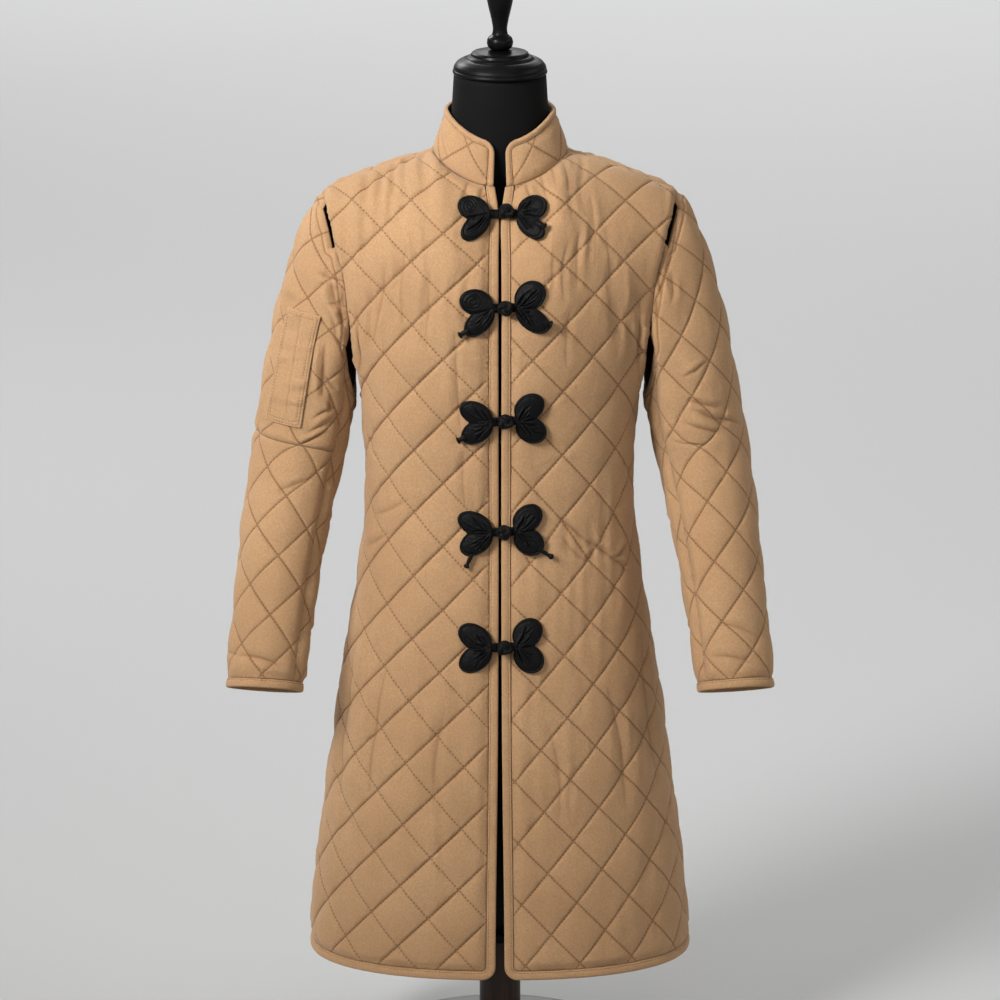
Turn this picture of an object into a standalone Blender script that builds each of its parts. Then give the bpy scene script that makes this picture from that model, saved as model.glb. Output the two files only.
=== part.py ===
"""Quilted gambeson on a limbless dress form with a turned stand.

Metres, +Z up. The origin is the middle of the stand's underside. The wearer faces -Y,
so the wearer's right is -X. Each piece of cloth is laid out in flat cutting places
(across the cloth, up the cloth) on a curved surface, quilted there, and carried to the world.
"""
import math

import bmesh
import bpy
import numpy as np
from mathutils import Vector
from mathutils.geometry import delaunay_2d_cdt

SEAM = 0.0003              # clearance between neighbouring pieces
WALL = 0.003               # quilted cloth along a stitch line
PUFF = 0.0055              # rise of the wadding in the middle of a quilted square
BAND = 0.012               # width of the bound edges
BAND_RISE = 0.0044         # thickness of the bound edges
STEP = 0.026               # spacing of points along a cut edge
EDGE_CLEAR = 0.009         # no quilting point lies closer to a cut edge

# Garment body, inner face
HEM = 0.145
CHEST = 0.883              # the rings end here and the lines run up to neck, shoulder and armhole
ROUNDNESS = 2.3            # exponent of the rings, 2 is an ellipse
# height, half width, depth in front, depth behind
BODY_RINGS = [
    (0.145, 0.2470, 0.158, 0.155),
    (0.256, 0.2370, 0.152, 0.150),
    (0.367, 0.2225, 0.145, 0.144),
    (0.477, 0.2080, 0.136, 0.138),
    (0.560, 0.1950, 0.128, 0.131),
    (0.641, 0.1820, 0.121, 0.122),
    (0.705, 0.1735, 0.115, 0.110),
    (0.785, 0.1675, 0.112, 0.102),
    (0.830, 0.1692, 0.114, 0.104),
    (0.883, 0.1735, 0.119, 0.110),
]
WAIST = 0.785
NECK_TURN, TIP_TURN = 0.25, 0.75     # share of the body's lines from the centre to neck and shoulder tip
# share of the lines, their place round the ring (0 centre, 1 side)
LINE_PLACES = [
    (0.00, 0.00), (0.25, 0.25), (0.50, 0.47), (0.75, 0.67), (0.83, 0.715),
    (0.89, 0.76), (0.94, 0.82), (0.975, 0.90), (1.00, 1.00),
]
NECK_HALF_WIDTH = 0.083
NECK_FRONT, NECK_FRONT_HEIGHT = -0.076, 1.181
NECK_BACK, NECK_BACK_HEIGHT = 0.079, 1.219
NECK_SIDE_HEIGHT = 1.211
SHOULDER_CROWN = 0.004               # rise of the shoulder seam above a straight line
# share of a full turn from the shoulder tip by the front, across, forward, height
ARMHOLE = [
    (0.000, 0.2255, 0.005, 1.1580),
    (0.045, 0.2205, -0.021, 1.1460),
    (0.125, 0.2070, -0.047, 1.1050),
    (0.200, 0.1990, -0.058, 1.0620),
    (0.285, 0.1925, -0.060, 1.0100),
    (0.335, 0.1870, -0.056, 0.9800),
    (0.400, 0.1800, -0.042, 0.9450),
    (0.460, 0.1755, -0.021, 0.9080),
    (0.500, 0.1752, 0.000, 0.8980),
    (0.545, 0.1770, 0.025, 0.9100),
    (0.620, 0.1860, 0.058, 0.9600),
    (0.720, 0.1965, 0.067, 1.0200),
    (0.810, 0.2070, 0.062, 1.0750),
    (0.900, 0.2170, 0.045, 1.1220),
    (0.960, 0.2230, 0.022, 1.1490),
    (1.000, 0.2255, 0.005, 1.1580),
]
# height, half the opening between the fronts
FRONT_OPENING = [
    (0.14, 0.0060), (0.20, 0.0056), (0.46, 0.0033), (0.62, 0.0026), (1.10, 0.0026),
    (1.15, 0.0016), (1.19, 0.0080),
]
FRONT_CORNER = 0.018                 # radius of the fronts' lower corners
# The quilting's crossings lie on columns and rows half a square apart.
# row, its height, place of the second column, half a square across
QUILTS = {
    "front_right": [
        (-18, -0.725, 0.100, 0.0390), (-10, -0.398, 0.086, 0.0380), (-4, -0.152, 0.073, 0.0385),
        (2, 0.099, 0.0715, 0.0390), (6, 0.268, 0.0715, 0.0425), (14, 0.580, 0.075, 0.0430),
    ],
    "front_left": [
        (-18, -0.705, 0.109, 0.0355), (-10, -0.376, 0.091, 0.0360), (-3, -0.090, 0.077, 0.0380),
        (-2, -0.034, 0.079, 0.0375), (4, 0.226, 0.082, 0.0400), (8, 0.383, 0.083, 0.0430),
        (14, 0.620, 0.086, 0.0440),
    ],
    "back": [
        (-18, -0.725, 0.0780, 0.0390), (-4, -0.152, 0.0780, 0.0390), (2, 0.099, 0.0780, 0.0390),
        (6, 0.268, 0.0840, 0.0420), (14, 0.580, 0.0850, 0.0425),
    ],
    "collar": [(-4, -0.150, 0.0780, 0.0390), (4, 0.174, 0.0780, 0.0390)],
    "sleeve_right": [
        (-14, -0.557, 0.030, 0.0325), (-8, -0.327, 0.030, 0.0325), (-2, -0.097, 0.015, 0.0325),
        (1, 0.040, 0.000, 0.0355), (4, 0.150, 0.009, 0.0355), (6, 0.224, 0.034, 0.0355), (12, 0.446, 0.060, 0.0370),
    ],
    "sleeve_left": [
        (-14, -0.565, 0.020, 0.0325), (-8, -0.335, 0.020, 0.0325), (-2, -0.103, 0.000, 0.0300),
        (6, 0.228, 0.002, 0.0300), (12, 0.474, 0.020, 0.0320),
    ],
}

# Collar, inner face
COLLAR_TOP_HALF_WIDTH = 0.0665
COLLAR_TOP_FRONT, COLLAR_TOP_BACK = -0.062, 0.070
COLLAR_FRONT_HEIGHT, COLLAR_SIDE_HEIGHT, COLLAR_BACK_HEIGHT = 1.237, 1.268, 1.279
COLLAR_OPENING = 0.0075
COLLAR_CORNER = 0.016
COLLAR_BAND = 0.008
COLLAR_WALL = 0.0035
COLLAR_FOOT = 0.0008                # its binding starts this far above the seam

# Sleeves, inner face: middle across, middle forward, height, half width, half depth
SLEEVE_RINGS = [
    (0.2489, 0.004, 0.883, 0.0565, 0.060),
    (0.2590, 0.004, 0.830, 0.0560, 0.059),
    (0.2690, -0.010, 0.780, 0.0535, 0.056),
    (0.2776, -0.028, 0.731, 0.0520, 0.053),
    (0.2849, -0.046, 0.682, 0.0490, 0.050),
    (0.2944, -0.073, 0.609, 0.0465, 0.047),
    (0.3050, -0.104, 0.523, 0.0460, 0.046),
]
CUFF_TILT = 0.55                     # share of the arm's slope that its rings follow
FRONT_SEAM, BACK_SEAM = 0.39, 0.65   # the sleeve's two seams, as shares of a turn
# share of a turn, how far the sleeve stands off the body across
ARMPIT = [
    (0.00, 0.0), (0.29, 0.0), (0.325, 0.006), (0.36, 0.0155), (0.42, 0.0185), (0.50, 0.0155),
    (0.56, 0.0105), (0.62, 0.0075), (0.68, 0.0050), (0.73, 0.0020), (0.78, 0.0), (1.00, 0.0),
]
# share of a turn where the open slit starts and ends, where the seam closes, slit width
SLITS = {"right": (0.042, 0.150, 0.195, 0.0044), "left": (0.034, 0.140, 0.200, 0.0052)}
SLIT_TAIL = 0.0014                   # opening of the seam below the slit

# Frogs: number, height of the knot, how far it is off the centre line
FROGS = [(1, 1.151, 0.008), (2, 1.037, 0.007), (3, 0.890, 0.007), (4, 0.740, 0.005), (5, 0.589, 0.006)]
# frog, side, root's distance from the centre line, root's lift above the knot's middle,
# then angle in degrees, length and width of the upper petal and of the lower petal
PETALS = [
    (1, "right", 0.0141, -0.003, 20, 0.0445, 0.032, -39, 0.0465, 0.028),
    (1, "left", 0.0237, -0.003, 24, 0.0415, 0.032, -39, 0.0430, 0.028),
    (2, "right", 0.0096, -0.001, 20, 0.0443, 0.033, -44, 0.0470, 0.029),
    (2, "left", 0.0227, 0.000, 44, 0.0440, 0.034, -37, 0.0470, 0.029),
    (3, "right", 0.0109, -0.002, 30, 0.0443, 0.030, -37, 0.0445, 0.030),
    (3, "left", 0.0227, 0.000, 50, 0.0430, 0.034, -40, 0.0420, 0.034),
    (4, "right", 0.0110, -0.001, 27, 0.0460, 0.031, -36, 0.0465, 0.031),
    (4, "left", 0.0207, 0.000, 50, 0.0430, 0.034, -42, 0.0420, 0.034),
    (5, "right", 0.0122, -0.001, 34, 0.0465, 0.033, -38, 0.0475, 0.032),
    (5, "left", 0.0217, 0.000, 53, 0.0430, 0.036, -47, 0.0430, 0.035),
]
FROG_RISE, FROG_THICK = 0.0092, 0.0055
STEM_WIDTH = 0.010
KNOT_RADIUS, KNOT_RISE, KNOT_LIFT = 0.0120, 0.0090, 0.0012

# Arm pocket on the right sleeve, in the sleeve's flat places
POCKET_ACROSS = (-0.0865, -0.0375)
POCKET_UP = (-0.0195, 0.1305)
POCKET_THICK = 0.0022
POCKET_PRESS = 0.25                  # share of the wadding's rise left under the pocket

# Dress form and stand
FORM_CLEAR = 0.012
FORM_DROP = 0.014          # the form's shoulders lie this far under the cloth
FORM_FOOT = 0.565
NECK_RADIUS, NECK_TOP = 0.060, 1.3140
PLATE_RADIUS, PLATE_THICK = 0.168, 0.012
COLUMN_RADIUS, COLUMN_TOP = 0.027, 0.150
POST_COLLAR_RADIUS, POST_COLLAR_TOP = 0.030, 0.163
TUBE_RADIUS = 0.019


MIRROR = np.array([-1.0, 1.0, 1.0])


# ---------------------------------------------------------------- curves and surfaces
def hermite(start, end, leave, arrive, t):
    """The cubic from start to end with the given end slopes."""
    return ((2 * t**3 - 3 * t**2 + 1) * start + (t**3 - 2 * t**2 + t) * leave
            + (3 * t**2 - 2 * t**3) * end + (t**3 - t**2) * arrive)


def smooth_curve(places, values, x):
    """A smooth curve through the values, read at x."""
    places, values = np.asarray(places, float), np.asarray(values, float)
    slopes = np.gradient(values, places, axis=0)
    x = np.atleast_1d(np.asarray(x, float))
    i = np.clip(np.searchsorted(places, x) - 1, 0, len(places) - 2)
    width = places[i + 1] - places[i]
    t = (x - places[i]) / width
    if values.ndim > 1:
        t, width = t[:, None], width[:, None]
    return hermite(values[i], values[i + 1], slopes[i] * width, slopes[i + 1] * width, t)


def smooth_step(x):
    x = np.clip(x, 0.0, 1.0)
    return x * x * (3 - 2 * x)


def unit(vectors):
    return vectors / np.linalg.norm(vectors, axis=-1, keepdims=True)


def lengths_along(points):
    steps = np.linalg.norm(np.diff(points, axis=0), axis=1)
    return np.concatenate([[0.0], np.cumsum(steps)])


def lengthened(ups, points, below, above):
    """A line carried on straight past both ends."""
    first, last = unit(points[0] - points[1]), unit(points[-1] - points[-3])
    points = np.vstack([points[0] + first * below, points, points[-1] + last * above])
    return np.concatenate([[ups[0] - below], ups, [ups[-1] + above]]), points


class Surface:
    """A curved surface woven from lines that run up it, with flat cutting places."""

    def __init__(self, lines, anchor, spacing=0.004):
        """lines holds (ups, points) pairs; flat places run across from the anchor line."""
        lines = [lengthened(ups, points, 0.03, 0.45) for ups, points in lines]
        low = max(ups[0] for ups, _ in lines)
        high = min(ups[-1] for ups, _ in lines)
        self.levels = np.arange(low, high, spacing)
        self.grid = np.stack([np.stack([np.interp(self.levels, ups, points[:, k]) for k in range(3)], axis=1)
                              for ups, points in lines], axis=1)
        steps = np.linalg.norm(np.diff(self.grid, axis=1), axis=2)
        arcs = np.concatenate([np.zeros((len(self.levels), 1)), np.cumsum(steps, axis=1)], axis=1)
        self.across = arcs - arcs[:, anchor:anchor + 1]
        self.normals = unit(np.cross(np.gradient(self.grid, axis=1), np.gradient(self.grid, axis=0)))

    def rows(self, v):
        f = np.clip((v - self.levels[0]) / (self.levels[1] - self.levels[0]), 0, len(self.levels) - 1.001)
        k = f.astype(int)
        return k, f - k

    def place(self, u, v):
        """World points and outward normals at flat places."""
        u, v = np.atleast_1d(u).astype(float), np.atleast_1d(v).astype(float)
        k, t = self.rows(v)
        row = self.across[k] * (1 - t)[:, None] + self.across[k + 1] * t[:, None]
        c = np.clip((row <= u[:, None]).sum(axis=1) - 1, 0, row.shape[1] - 2)
        q = np.arange(len(u))
        s = ((u - row[q, c]) / (row[q, c + 1] - row[q, c]))[:, None]
        t = t[:, None]
        mixed = []
        for table in (self.grid, self.normals):
            lower = table[k, c] * (1 - s) + table[k, c + 1] * s
            upper = table[k + 1, c] * (1 - s) + table[k + 1, c + 1] * s
            mixed.append(lower * (1 - t) + upper * t)
        return mixed[0], unit(mixed[1])

    def across_at(self, line, v):
        """The flat place across, on a line given by its (fractional) number."""
        line, v = np.atleast_1d(line).astype(float), np.atleast_1d(v).astype(float)
        k, t = self.rows(v)
        c = np.clip(line.astype(int), 0, self.across.shape[1] - 2)
        s = line - c
        lower = self.across[k, c] * (1 - s) + self.across[k, c + 1] * s
        upper = self.across[k + 1, c] * (1 - s) + self.across[k + 1, c + 1] * s
        return lower * (1 - t) + upper * t


# ---------------------------------------------------------------- the body's lines
def ring_point(height, turn, behind):
    """Points of the body's ring, turn 0 at the centre and 1 at the side."""
    rings = np.array(BODY_RINGS)
    half, front, back = smooth_curve(rings[:, 0], rings[:, 1:], height).T
    angle = np.interp(turn, *np.array(LINE_PLACES).T) * math.pi / 2
    x = half * math.sin(angle) ** (2 / ROUNDNESS)
    y = max(math.cos(angle), 0.0) ** (2 / ROUNDNESS) * (back if behind else -front)
    return np.stack([x, y, np.broadcast_to(height, x.shape)], axis=1)


def neckline(turn, behind):
    """The neck seam, turn 0 at the centre and NECK_TURN at the side of the neck."""
    angle = turn / NECK_TURN * math.pi / 2
    depth, height = (NECK_BACK, NECK_BACK_HEIGHT) if behind else (NECK_FRONT, NECK_FRONT_HEIGHT)
    return np.array([NECK_HALF_WIDTH * math.sin(angle), depth * math.cos(angle),
                     height + (NECK_SIDE_HEIGHT - height) * math.sin(angle) ** 2])


def armhole(share):
    rows = np.array(ARMHOLE)
    return smooth_curve(rows[:, 0], rows[:, 1:], share)


def line_top(turn, behind):
    """Where a body line ends, and the direction and fullness with which it arrives there."""
    sign = -1 if behind else 1
    over = np.array([0.0, sign * 1.0, 0.10])
    if turn <= NECK_TURN:
        rise = np.array([0.0, sign * 0.55, 0.85])
        t = smooth_step(turn / NECK_TURN)
        return neckline(turn, behind), unit(rise + (over - rise) * t), 0.9 + 0.4 * t
    tip = armhole(0.0)[0]
    if turn <= TIP_TURN:
        t = (turn - NECK_TURN) / (TIP_TURN - NECK_TURN)
        point = neckline(NECK_TURN, behind) * (1 - t) + tip * t
        return point + np.array([0, 0, 4 * SHOULDER_CROWN * t * (1 - t)]), unit(over), 1.3 - 0.4 * t
    t = (turn - TIP_TURN) / (1 - TIP_TURN)
    share = 1 - t / 2 if behind else t / 2
    upright = np.array([(0.34 if behind else 0.22) * (1 - t), sign * 0.40 * (1 - t), 1.0])
    return armhole(share)[0], unit(over + (upright - over) * smooth_step(t * 3)), 0.9


HALF_LINES = 48            # lines in each quarter of the body
EVENINGS = 20              # passes that even out the body's lines above the chest


def body_quarter(behind):
    """The lines of one quarter from hem to top, evened out from line to line above the chest."""
    heights = np.linspace(HEM, CHEST, 45)
    t = np.linspace(0, 1, 40)[1:]
    lines = []
    for turn in np.linspace(0, 1, HALF_LINES + 1):
        lower = ring_point(heights, turn, behind)
        leave = unit(lower[-1] - lower[-2])
        end, arrive, fullness = line_top(turn, behind)
        reach = np.linalg.norm(end - lower[-1])
        upper = hermite(lower[-1], end, leave * reach * 1.1, arrive * reach * fullness, t[:, None])
        lines.append(np.vstack([lower, upper]))
    grid = np.array(lines)
    up = np.concatenate([np.zeros(len(heights)), (4 * t * (1 - t)) ** 2])
    across = 1 - smooth_step((np.linspace(0, 1, HALF_LINES) - TIP_TURN) / 0.12)
    weight = across[:, None, None] * up[:, None]
    for _ in range(EVENINGS):
        wide = np.concatenate([grid[1:2] * MIRROR, grid])
        around = (wide[:-2] + 2 * wide[1:-1] + wide[2:]) / 4
        grid[:-1] += (around - grid[:-1]) * weight
    return grid


def body_line(turn, behind):
    """One line of the body from hem to top: flat heights (0 at the waist) and points."""
    quarter = quarters[behind]
    turn = min(max(turn, 0.0), 1.0)
    i = min(int(turn * HALF_LINES), HALF_LINES - 1)
    t = turn * HALF_LINES - i
    points = quarter[i] * (1 - t) + quarter[i + 1] * t
    points[-1] = line_top(turn, behind)[0]
    ups = lengths_along(points)
    return ups - np.interp(WAIST, points[:45, 2], ups[:45]), points


def front_surface():
    """The wearer's left front. Flat places run across from the centre of the front."""
    lines = [body_line(i / HALF_LINES, False) for i in range(HALF_LINES + 1)]
    surface = Surface(lines, round(NECK_TURN * HALF_LINES))
    neck = lines[0][0][-1]
    surface.across -= np.interp(np.minimum(surface.levels, neck), surface.levels, surface.across[:, 0])[:, None]
    return surface


def back_surface():
    """The whole back. Flat places run across from the centre, from the left side to the right."""
    half = [body_line(i / HALF_LINES, True) for i in range(HALF_LINES + 1)]
    lines = half[::-1] + [(ups, points * MIRROR) for ups, points in half[1:]]
    return Surface(lines, HALF_LINES)


# ---------------------------------------------------------------- the sleeves' lines
def sleeve_ring(station, share):
    """A point of the sleeve's tube. station 0 is the first ring and 1 the cuff's end."""
    rows = np.array(SLEEVE_RINGS)
    along = lengths_along(rows[:, :3])
    along /= along[-1]
    middle = smooth_curve(along, rows[:, :3], station)
    half, deep = smooth_curve(along, rows[:, 3:], station).T
    ahead = unit(smooth_curve(along, rows[:, :3], station + 0.01) - smooth_curve(along, rows[:, :3], station - 0.01))
    tilted = unit(ahead * np.array([CUFF_TILT, 1.0, 1.0]))
    outward = unit(np.cross(np.array([0.0, 1.0, 0.0]), tilted))
    forward = unit(np.cross(tilted, outward))
    angle = share * 2 * math.pi
    outward *= np.where(outward[:, :1] < 0, -1, 1)
    forward *= np.where(forward[:, 1:2] > 0, -1, 1)
    return middle + outward * (half * math.cos(angle))[:, None] + forward * (deep * math.sin(angle))[:, None]


def slit_gap(share, side):
    """How wide the armhole seam gapes down the sleeve."""
    start, end, closed, width = SLITS[side]
    flank = 0.006
    share = np.atleast_1d(share)
    slit = width * np.clip(np.minimum(share - start + flank, end + flank - share) / flank, 0, 1)
    tail = SLIT_TAIL * np.clip((closed - share) / 0.02, 0, 1) * (share >= end)
    return np.maximum(slit, tail)


def sleeve_head(share, side):
    """The sleeve's edge at the armhole, and the direction in which its lines arrive."""
    share = share % 1.0
    tip = np.array([-0.62, 0.0, 0.78])
    middle = np.array([-0.50, 0.10 if share < 0.5 else -0.10, 0.86])
    bottom = np.array([-0.12, 0.0, 1.0])
    turn = 2 * min(share, 1 - share)
    arrive = tip + (middle - tip) * smooth_step(turn * 2) + (bottom - middle) * smooth_step(turn * 2 - 1)
    arrive = unit(arrive)
    off = np.interp(share, *np.array(ARMPIT).T)
    point = armhole(share)[0] + np.array([off, 0, 0]) - arrive * slit_gap(share, side)[0]
    return point, arrive


def sleeve_line(share, side):
    """One line of the sleeve from cuff to armhole: flat heights (0 at the first ring) and points."""
    stations = np.linspace(1, 0, 60)
    rows = np.array(SLEEVE_RINGS)
    arm = lengths_along(rows[:, :3])[-1]
    lower = sleeve_ring(stations, share)
    end, arrive = sleeve_head(share, side)
    leave = unit(lower[-1] - lower[-2])
    reach = np.linalg.norm(end - lower[-1])
    t = np.linspace(0, 1, 40)[1:, None]
    upper = hermite(lower[-1], end, leave * reach * 0.95, arrive * reach * 0.8, t)
    above = lengths_along(np.vstack([lower[-1:], upper]))[1:]
    return np.concatenate([-arm * stations, above]), np.vstack([lower, upper])


SLEEVE_LINES = 60          # lines in a full turn of the sleeve


def sleeve_shares(first, last):
    count = max(8, round((last - first) * SLEEVE_LINES))
    return np.linspace(first, last, count + 1)


# ---------------------------------------------------------------- meshes
def material(name, colour, roughness, metallic=0.0):
    finish = bpy.data.materials.new(name)
    finish.use_nodes = True
    shader = finish.node_tree.nodes["Principled BSDF"]
    shader.inputs["Base Color"].default_value = (*colour, 1.0)
    shader.inputs["Roughness"].default_value = roughness
    shader.inputs["Metallic"].default_value = metallic
    finish.diffuse_color = (*colour, 1.0)
    return finish


def solid(name, points, faces, finish):
    """One named object from points and faces, with its faces turned outward."""
    mesh = bpy.data.meshes.new(name)
    mesh.from_pydata([tuple(map(float, p)) for p in points], [], [tuple(map(int, f)) for f in faces])
    shaped = bmesh.new()
    shaped.from_mesh(mesh)
    bmesh.ops.recalc_face_normals(shaped, faces=shaped.faces)
    if shaped.calc_volume(signed=True) < 0:
        bmesh.ops.reverse_faces(shaped, faces=shaped.faces)
    shaped.to_mesh(mesh)
    shaped.free()
    mesh.materials.append(finish)
    thing = bpy.data.objects.new(name, mesh)
    collection.objects.link(thing)
    return thing


def loft(name, sections, finish, closed=False, hubs=()):
    """A solid through sections of equal point counts, its ends capped, round hubs if they are given."""
    count = len(sections[0])
    points = np.concatenate(sections)
    faces = []
    spans = len(sections) if closed else len(sections) - 1
    for s in range(spans):
        a, b = s * count, (s + 1) % len(sections) * count
        for k in range(count):
            m = (k + 1) % count
            faces.append((a + k, a + m, b + m, b + k))
    if len(hubs):
        low, high, top = len(points), len(points) + 1, len(points) - count
        points = np.vstack([points, hubs])
        for k in range(count):
            m = (k + 1) % count
            faces += [(low, m, k), (high, top + k, top + m)]
    elif not closed:
        faces.append(tuple(range(count))[::-1])
        faces.append(tuple(range(len(points) - count, len(points))))
    return solid(name, points, faces, finish)


def turned(name, profile, finish, sides=32):
    """A turned solid. profile holds (radius, height) from the bottom up, both ends on the axis."""
    rings = [np.array([(radius * math.cos(a), radius * math.sin(a), height)
                       for a in np.linspace(0, 2 * math.pi, sides, endpoint=False)])
             for radius, height in profile[1:-1]]
    points = np.vstack(rings + [[(0, 0, profile[0][1])], [(0, 0, profile[-1][1])]])
    low, high = len(points) - 2, len(points) - 1
    faces = []
    for r in range(len(rings) - 1):
        for k in range(sides):
            m = (k + 1) % sides
            faces.append((r * sides + k, r * sides + m, (r + 1) * sides + m, (r + 1) * sides + k))
    top = (len(rings) - 1) * sides
    faces += [(low, (k + 1) % sides, k) for k in range(sides)]
    faces += [(high, top + k, top + (k + 1) % sides) for k in range(sides)]
    thing = solid(name, points, faces, finish)
    thing.data.shade_smooth()
    thing.data.set_sharp_from_angle(angle=math.radians(35))
    return thing


def edge_distance(points, outline):
    """Distance of each flat point from the outline, and whether it lies inside."""
    a, b = outline, np.roll(outline, -1, axis=0)
    along = b - a
    offset = points[:, None, :] - a[None]
    t = np.clip((offset * along).sum(axis=2) / np.maximum((along**2).sum(axis=1), 1e-12), 0, 1)
    near = np.linalg.norm(offset - t[:, :, None] * along, axis=2).min(axis=1)
    crosses = (a[None, :, 1] > points[:, 1:2]) != (b[None, :, 1] > points[:, 1:2])
    with np.errstate(divide="ignore", invalid="ignore"):
        at = a[None, :, 0] + (points[:, 1:2] - a[None, :, 1]) * along[None, :, 0] / along[None, :, 1]
    return near, (crosses & (points[:, :1] < at)).sum(axis=1) % 2 == 1


def inward(outline):
    """The mitred inward direction at each corner of a flat outline."""
    before, after = outline - np.roll(outline, 1, axis=0), np.roll(outline, -1, axis=0) - outline
    area = (outline[:, 0] * np.roll(outline[:, 1], -1) - np.roll(outline[:, 0], -1) * outline[:, 1]).sum()
    turn = 1 if area > 0 else -1
    sides = [unit(np.stack([-step[:, 1], step[:, 0]], axis=1)) * turn for step in (before, after)]
    return (sides[0] + sides[1]) / (1 + (sides[0] * sides[1]).sum(axis=1, keepdims=True))


def triangulated(outline, inside, ties):
    """Triangles over an outline and the points inside it, by number, with edges between the ties."""
    points = [Vector(p) for p in np.vstack([outline, inside])]
    rim = list(range(len(outline)))
    edges = [tuple(map(int, pair)) for pair in ties + len(outline)]
    found, _, faces, origins, _, _ = delaunay_2d_cdt(points, edges, [rim], 1, 1e-7)
    if len(found) != len(points):
        raise ValueError("a cut edge crosses itself")
    number = [origin[0] for origin in origins]
    return [tuple(number[k] for k in face) for face in faces]


class Quilt:
    """The lattice of quilted squares on one piece, in flat places."""

    def __init__(self, table, rise=PUFF, press=None):
        self.table = np.array(table)
        self.rise = rise
        self.press = press

    def flat(self, column, row):
        """Flat places of the lattice; crossings have an even sum of column and row."""
        up, second, half = (np.interp(row, self.table[:, 0], self.table[:, k]) for k in (1, 2, 3))
        return np.stack([second + (column - 2) * half, up], axis=1)

    def points(self, fine, fine_from):
        """Crossings, middles of squares and, where fine, middles of their sides, each with its rise.

        The ties pair the middle of each square with its four corners.
        """
        columns, rows = np.arange(-8, 11), np.arange(-17, 14)
        column, row = [grid.ravel() for grid in np.meshgrid(columns, rows)]
        corners, sides = self.flat(column, row), self.flat(column + 0.5, row + 0.5)
        if not fine:
            sides = sides[sides[:, 1] > fine_from]
        places = np.vstack([corners, sides])
        rise = np.concatenate([(column + row) % 2 * self.rise, np.zeros(len(sides))])
        if self.press:
            rise = rise * self.press(places)
        middles = np.flatnonzero(((column + row) % 2 == 1) & (column > columns[0]) & (column < columns[-1])
                                 & (row > rows[0]) & (row < rows[-1]))
        ties = np.vstack([np.stack([middles, middles + step], axis=1)
                          for step in (-1, 1, -len(columns), len(columns))])
        return places, rise, ties


def cloth(name, surface, outline, points, normals, quilt, finish, wall=WALL, flip=1, fine_from=0.10):
    """A quilted panel: outer points raised by the wadding over a plain inner wall.

    outline holds flat places; points and normals the same corners in the world.
    flip is -1 for a piece whose surface is mirrored to the wearer's right. Above the flat
    height fine_from the inner wall has the middles of the squares too, since it is more curved.
    """
    mirror = np.array([flip, 1.0, 1.0])
    inset = inward(outline) * SEAM / 2
    shift = surface.place(*(outline + inset * 10).T)[0] - surface.place(*outline.T)[0]
    rim = points + shift / 10
    layers = []
    for fine, clear in ((True, EDGE_CLEAR), (False, 1.4 * EDGE_CLEAR)):
        inside, rise, ties = quilt.points(fine, fine_from)
        near, within = edge_distance(inside, outline)
        within &= near > np.where(inside[:, 1] > fine_from, EDGE_CLEAR, clear)
        number = np.where(within, np.cumsum(within) - 1, -1)
        ties = number[ties][(number[ties] >= 0).all(axis=1)]
        inside, near, rise = inside[within], near[within], rise[within]
        base, out = surface.place(*inside.T)
        if fine:
            fade = smooth_step((near - 0.004) / 0.016)
            base = base + out * (wall + rise * fade)[:, None]
        edge = rim + normals * (wall if fine else 0.0)
        layers.append((np.vstack([edge, base]) * mirror, triangulated(outline, inside, ties)))
    (outer, outer_faces), (inner, inner_faces) = layers
    start = len(outer)
    count = len(outline)
    faces = list(outer_faces) + [tuple(start + k for k in face[::-1]) for face in inner_faces]
    # The cut edge's diagonals rise outward, so that those of two neighbours lie side by side.
    rise = np.abs(outer[:count]) @ np.array([0.17, 0.31, 1.0])
    for k in range(count):
        m = (k + 1) % count
        if rise[m] > rise[k]:
            faces += [(k, m, start + k), (m, start + m, start + k)]
        else:
            faces += [(k, m, start + m), (k, start + m, start + k)]
    return solid(name, np.vstack([outer, inner]), faces, finish)


def strip(name, surface, path, sides, finish, width=BAND, rise=BAND_RISE, flip=1, closed=False):
    """A bound edge: path holds flat places of the outer edge, sides the way into the cloth."""
    mirror = np.array([flip, 1.0, 1.0])
    # share of the width, share of the rise
    profile = [(0.0, 0.0), (0.0, 0.62), (0.22, 1.0), (0.78, 1.0), (1.0, 0.66), (1.0, 0.0)]
    sections = [[] for _ in path]
    for share, up in profile:
        flat = path + sides * (share * (width - SEAM / 2))
        point, normal = surface.place(*flat.T)
        for section, p, n in zip(sections, point, normal):
            section.append((p + n * up * rise) * mirror)
    return loft(name, [np.array(section) for section in sections], finish, closed)


def spaced(start, end, step=STEP):
    return np.linspace(start, end, max(2, round(abs(end - start) / step) + 1))


def path_sides(path, turn):
    """The mitred way off an open flat path, to its left (turn 1) or right (turn -1)."""
    steps = unit(np.diff(path, axis=0))
    steps = np.vstack([steps[:1], steps, steps[-1:]])
    left = np.stack([-steps[:, 1], steps[:, 0]], axis=1) * turn
    return (left[:-1] + left[1:]) / (1 + (left[:-1] * left[1:]).sum(axis=1, keepdims=True))


def corner(middle, radius, first, last, count=5):
    """Points of a round corner, between two angles."""
    angles = np.linspace(first, last, count)
    return middle + radius * np.stack([np.cos(angles), np.sin(angles)], axis=1)


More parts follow.
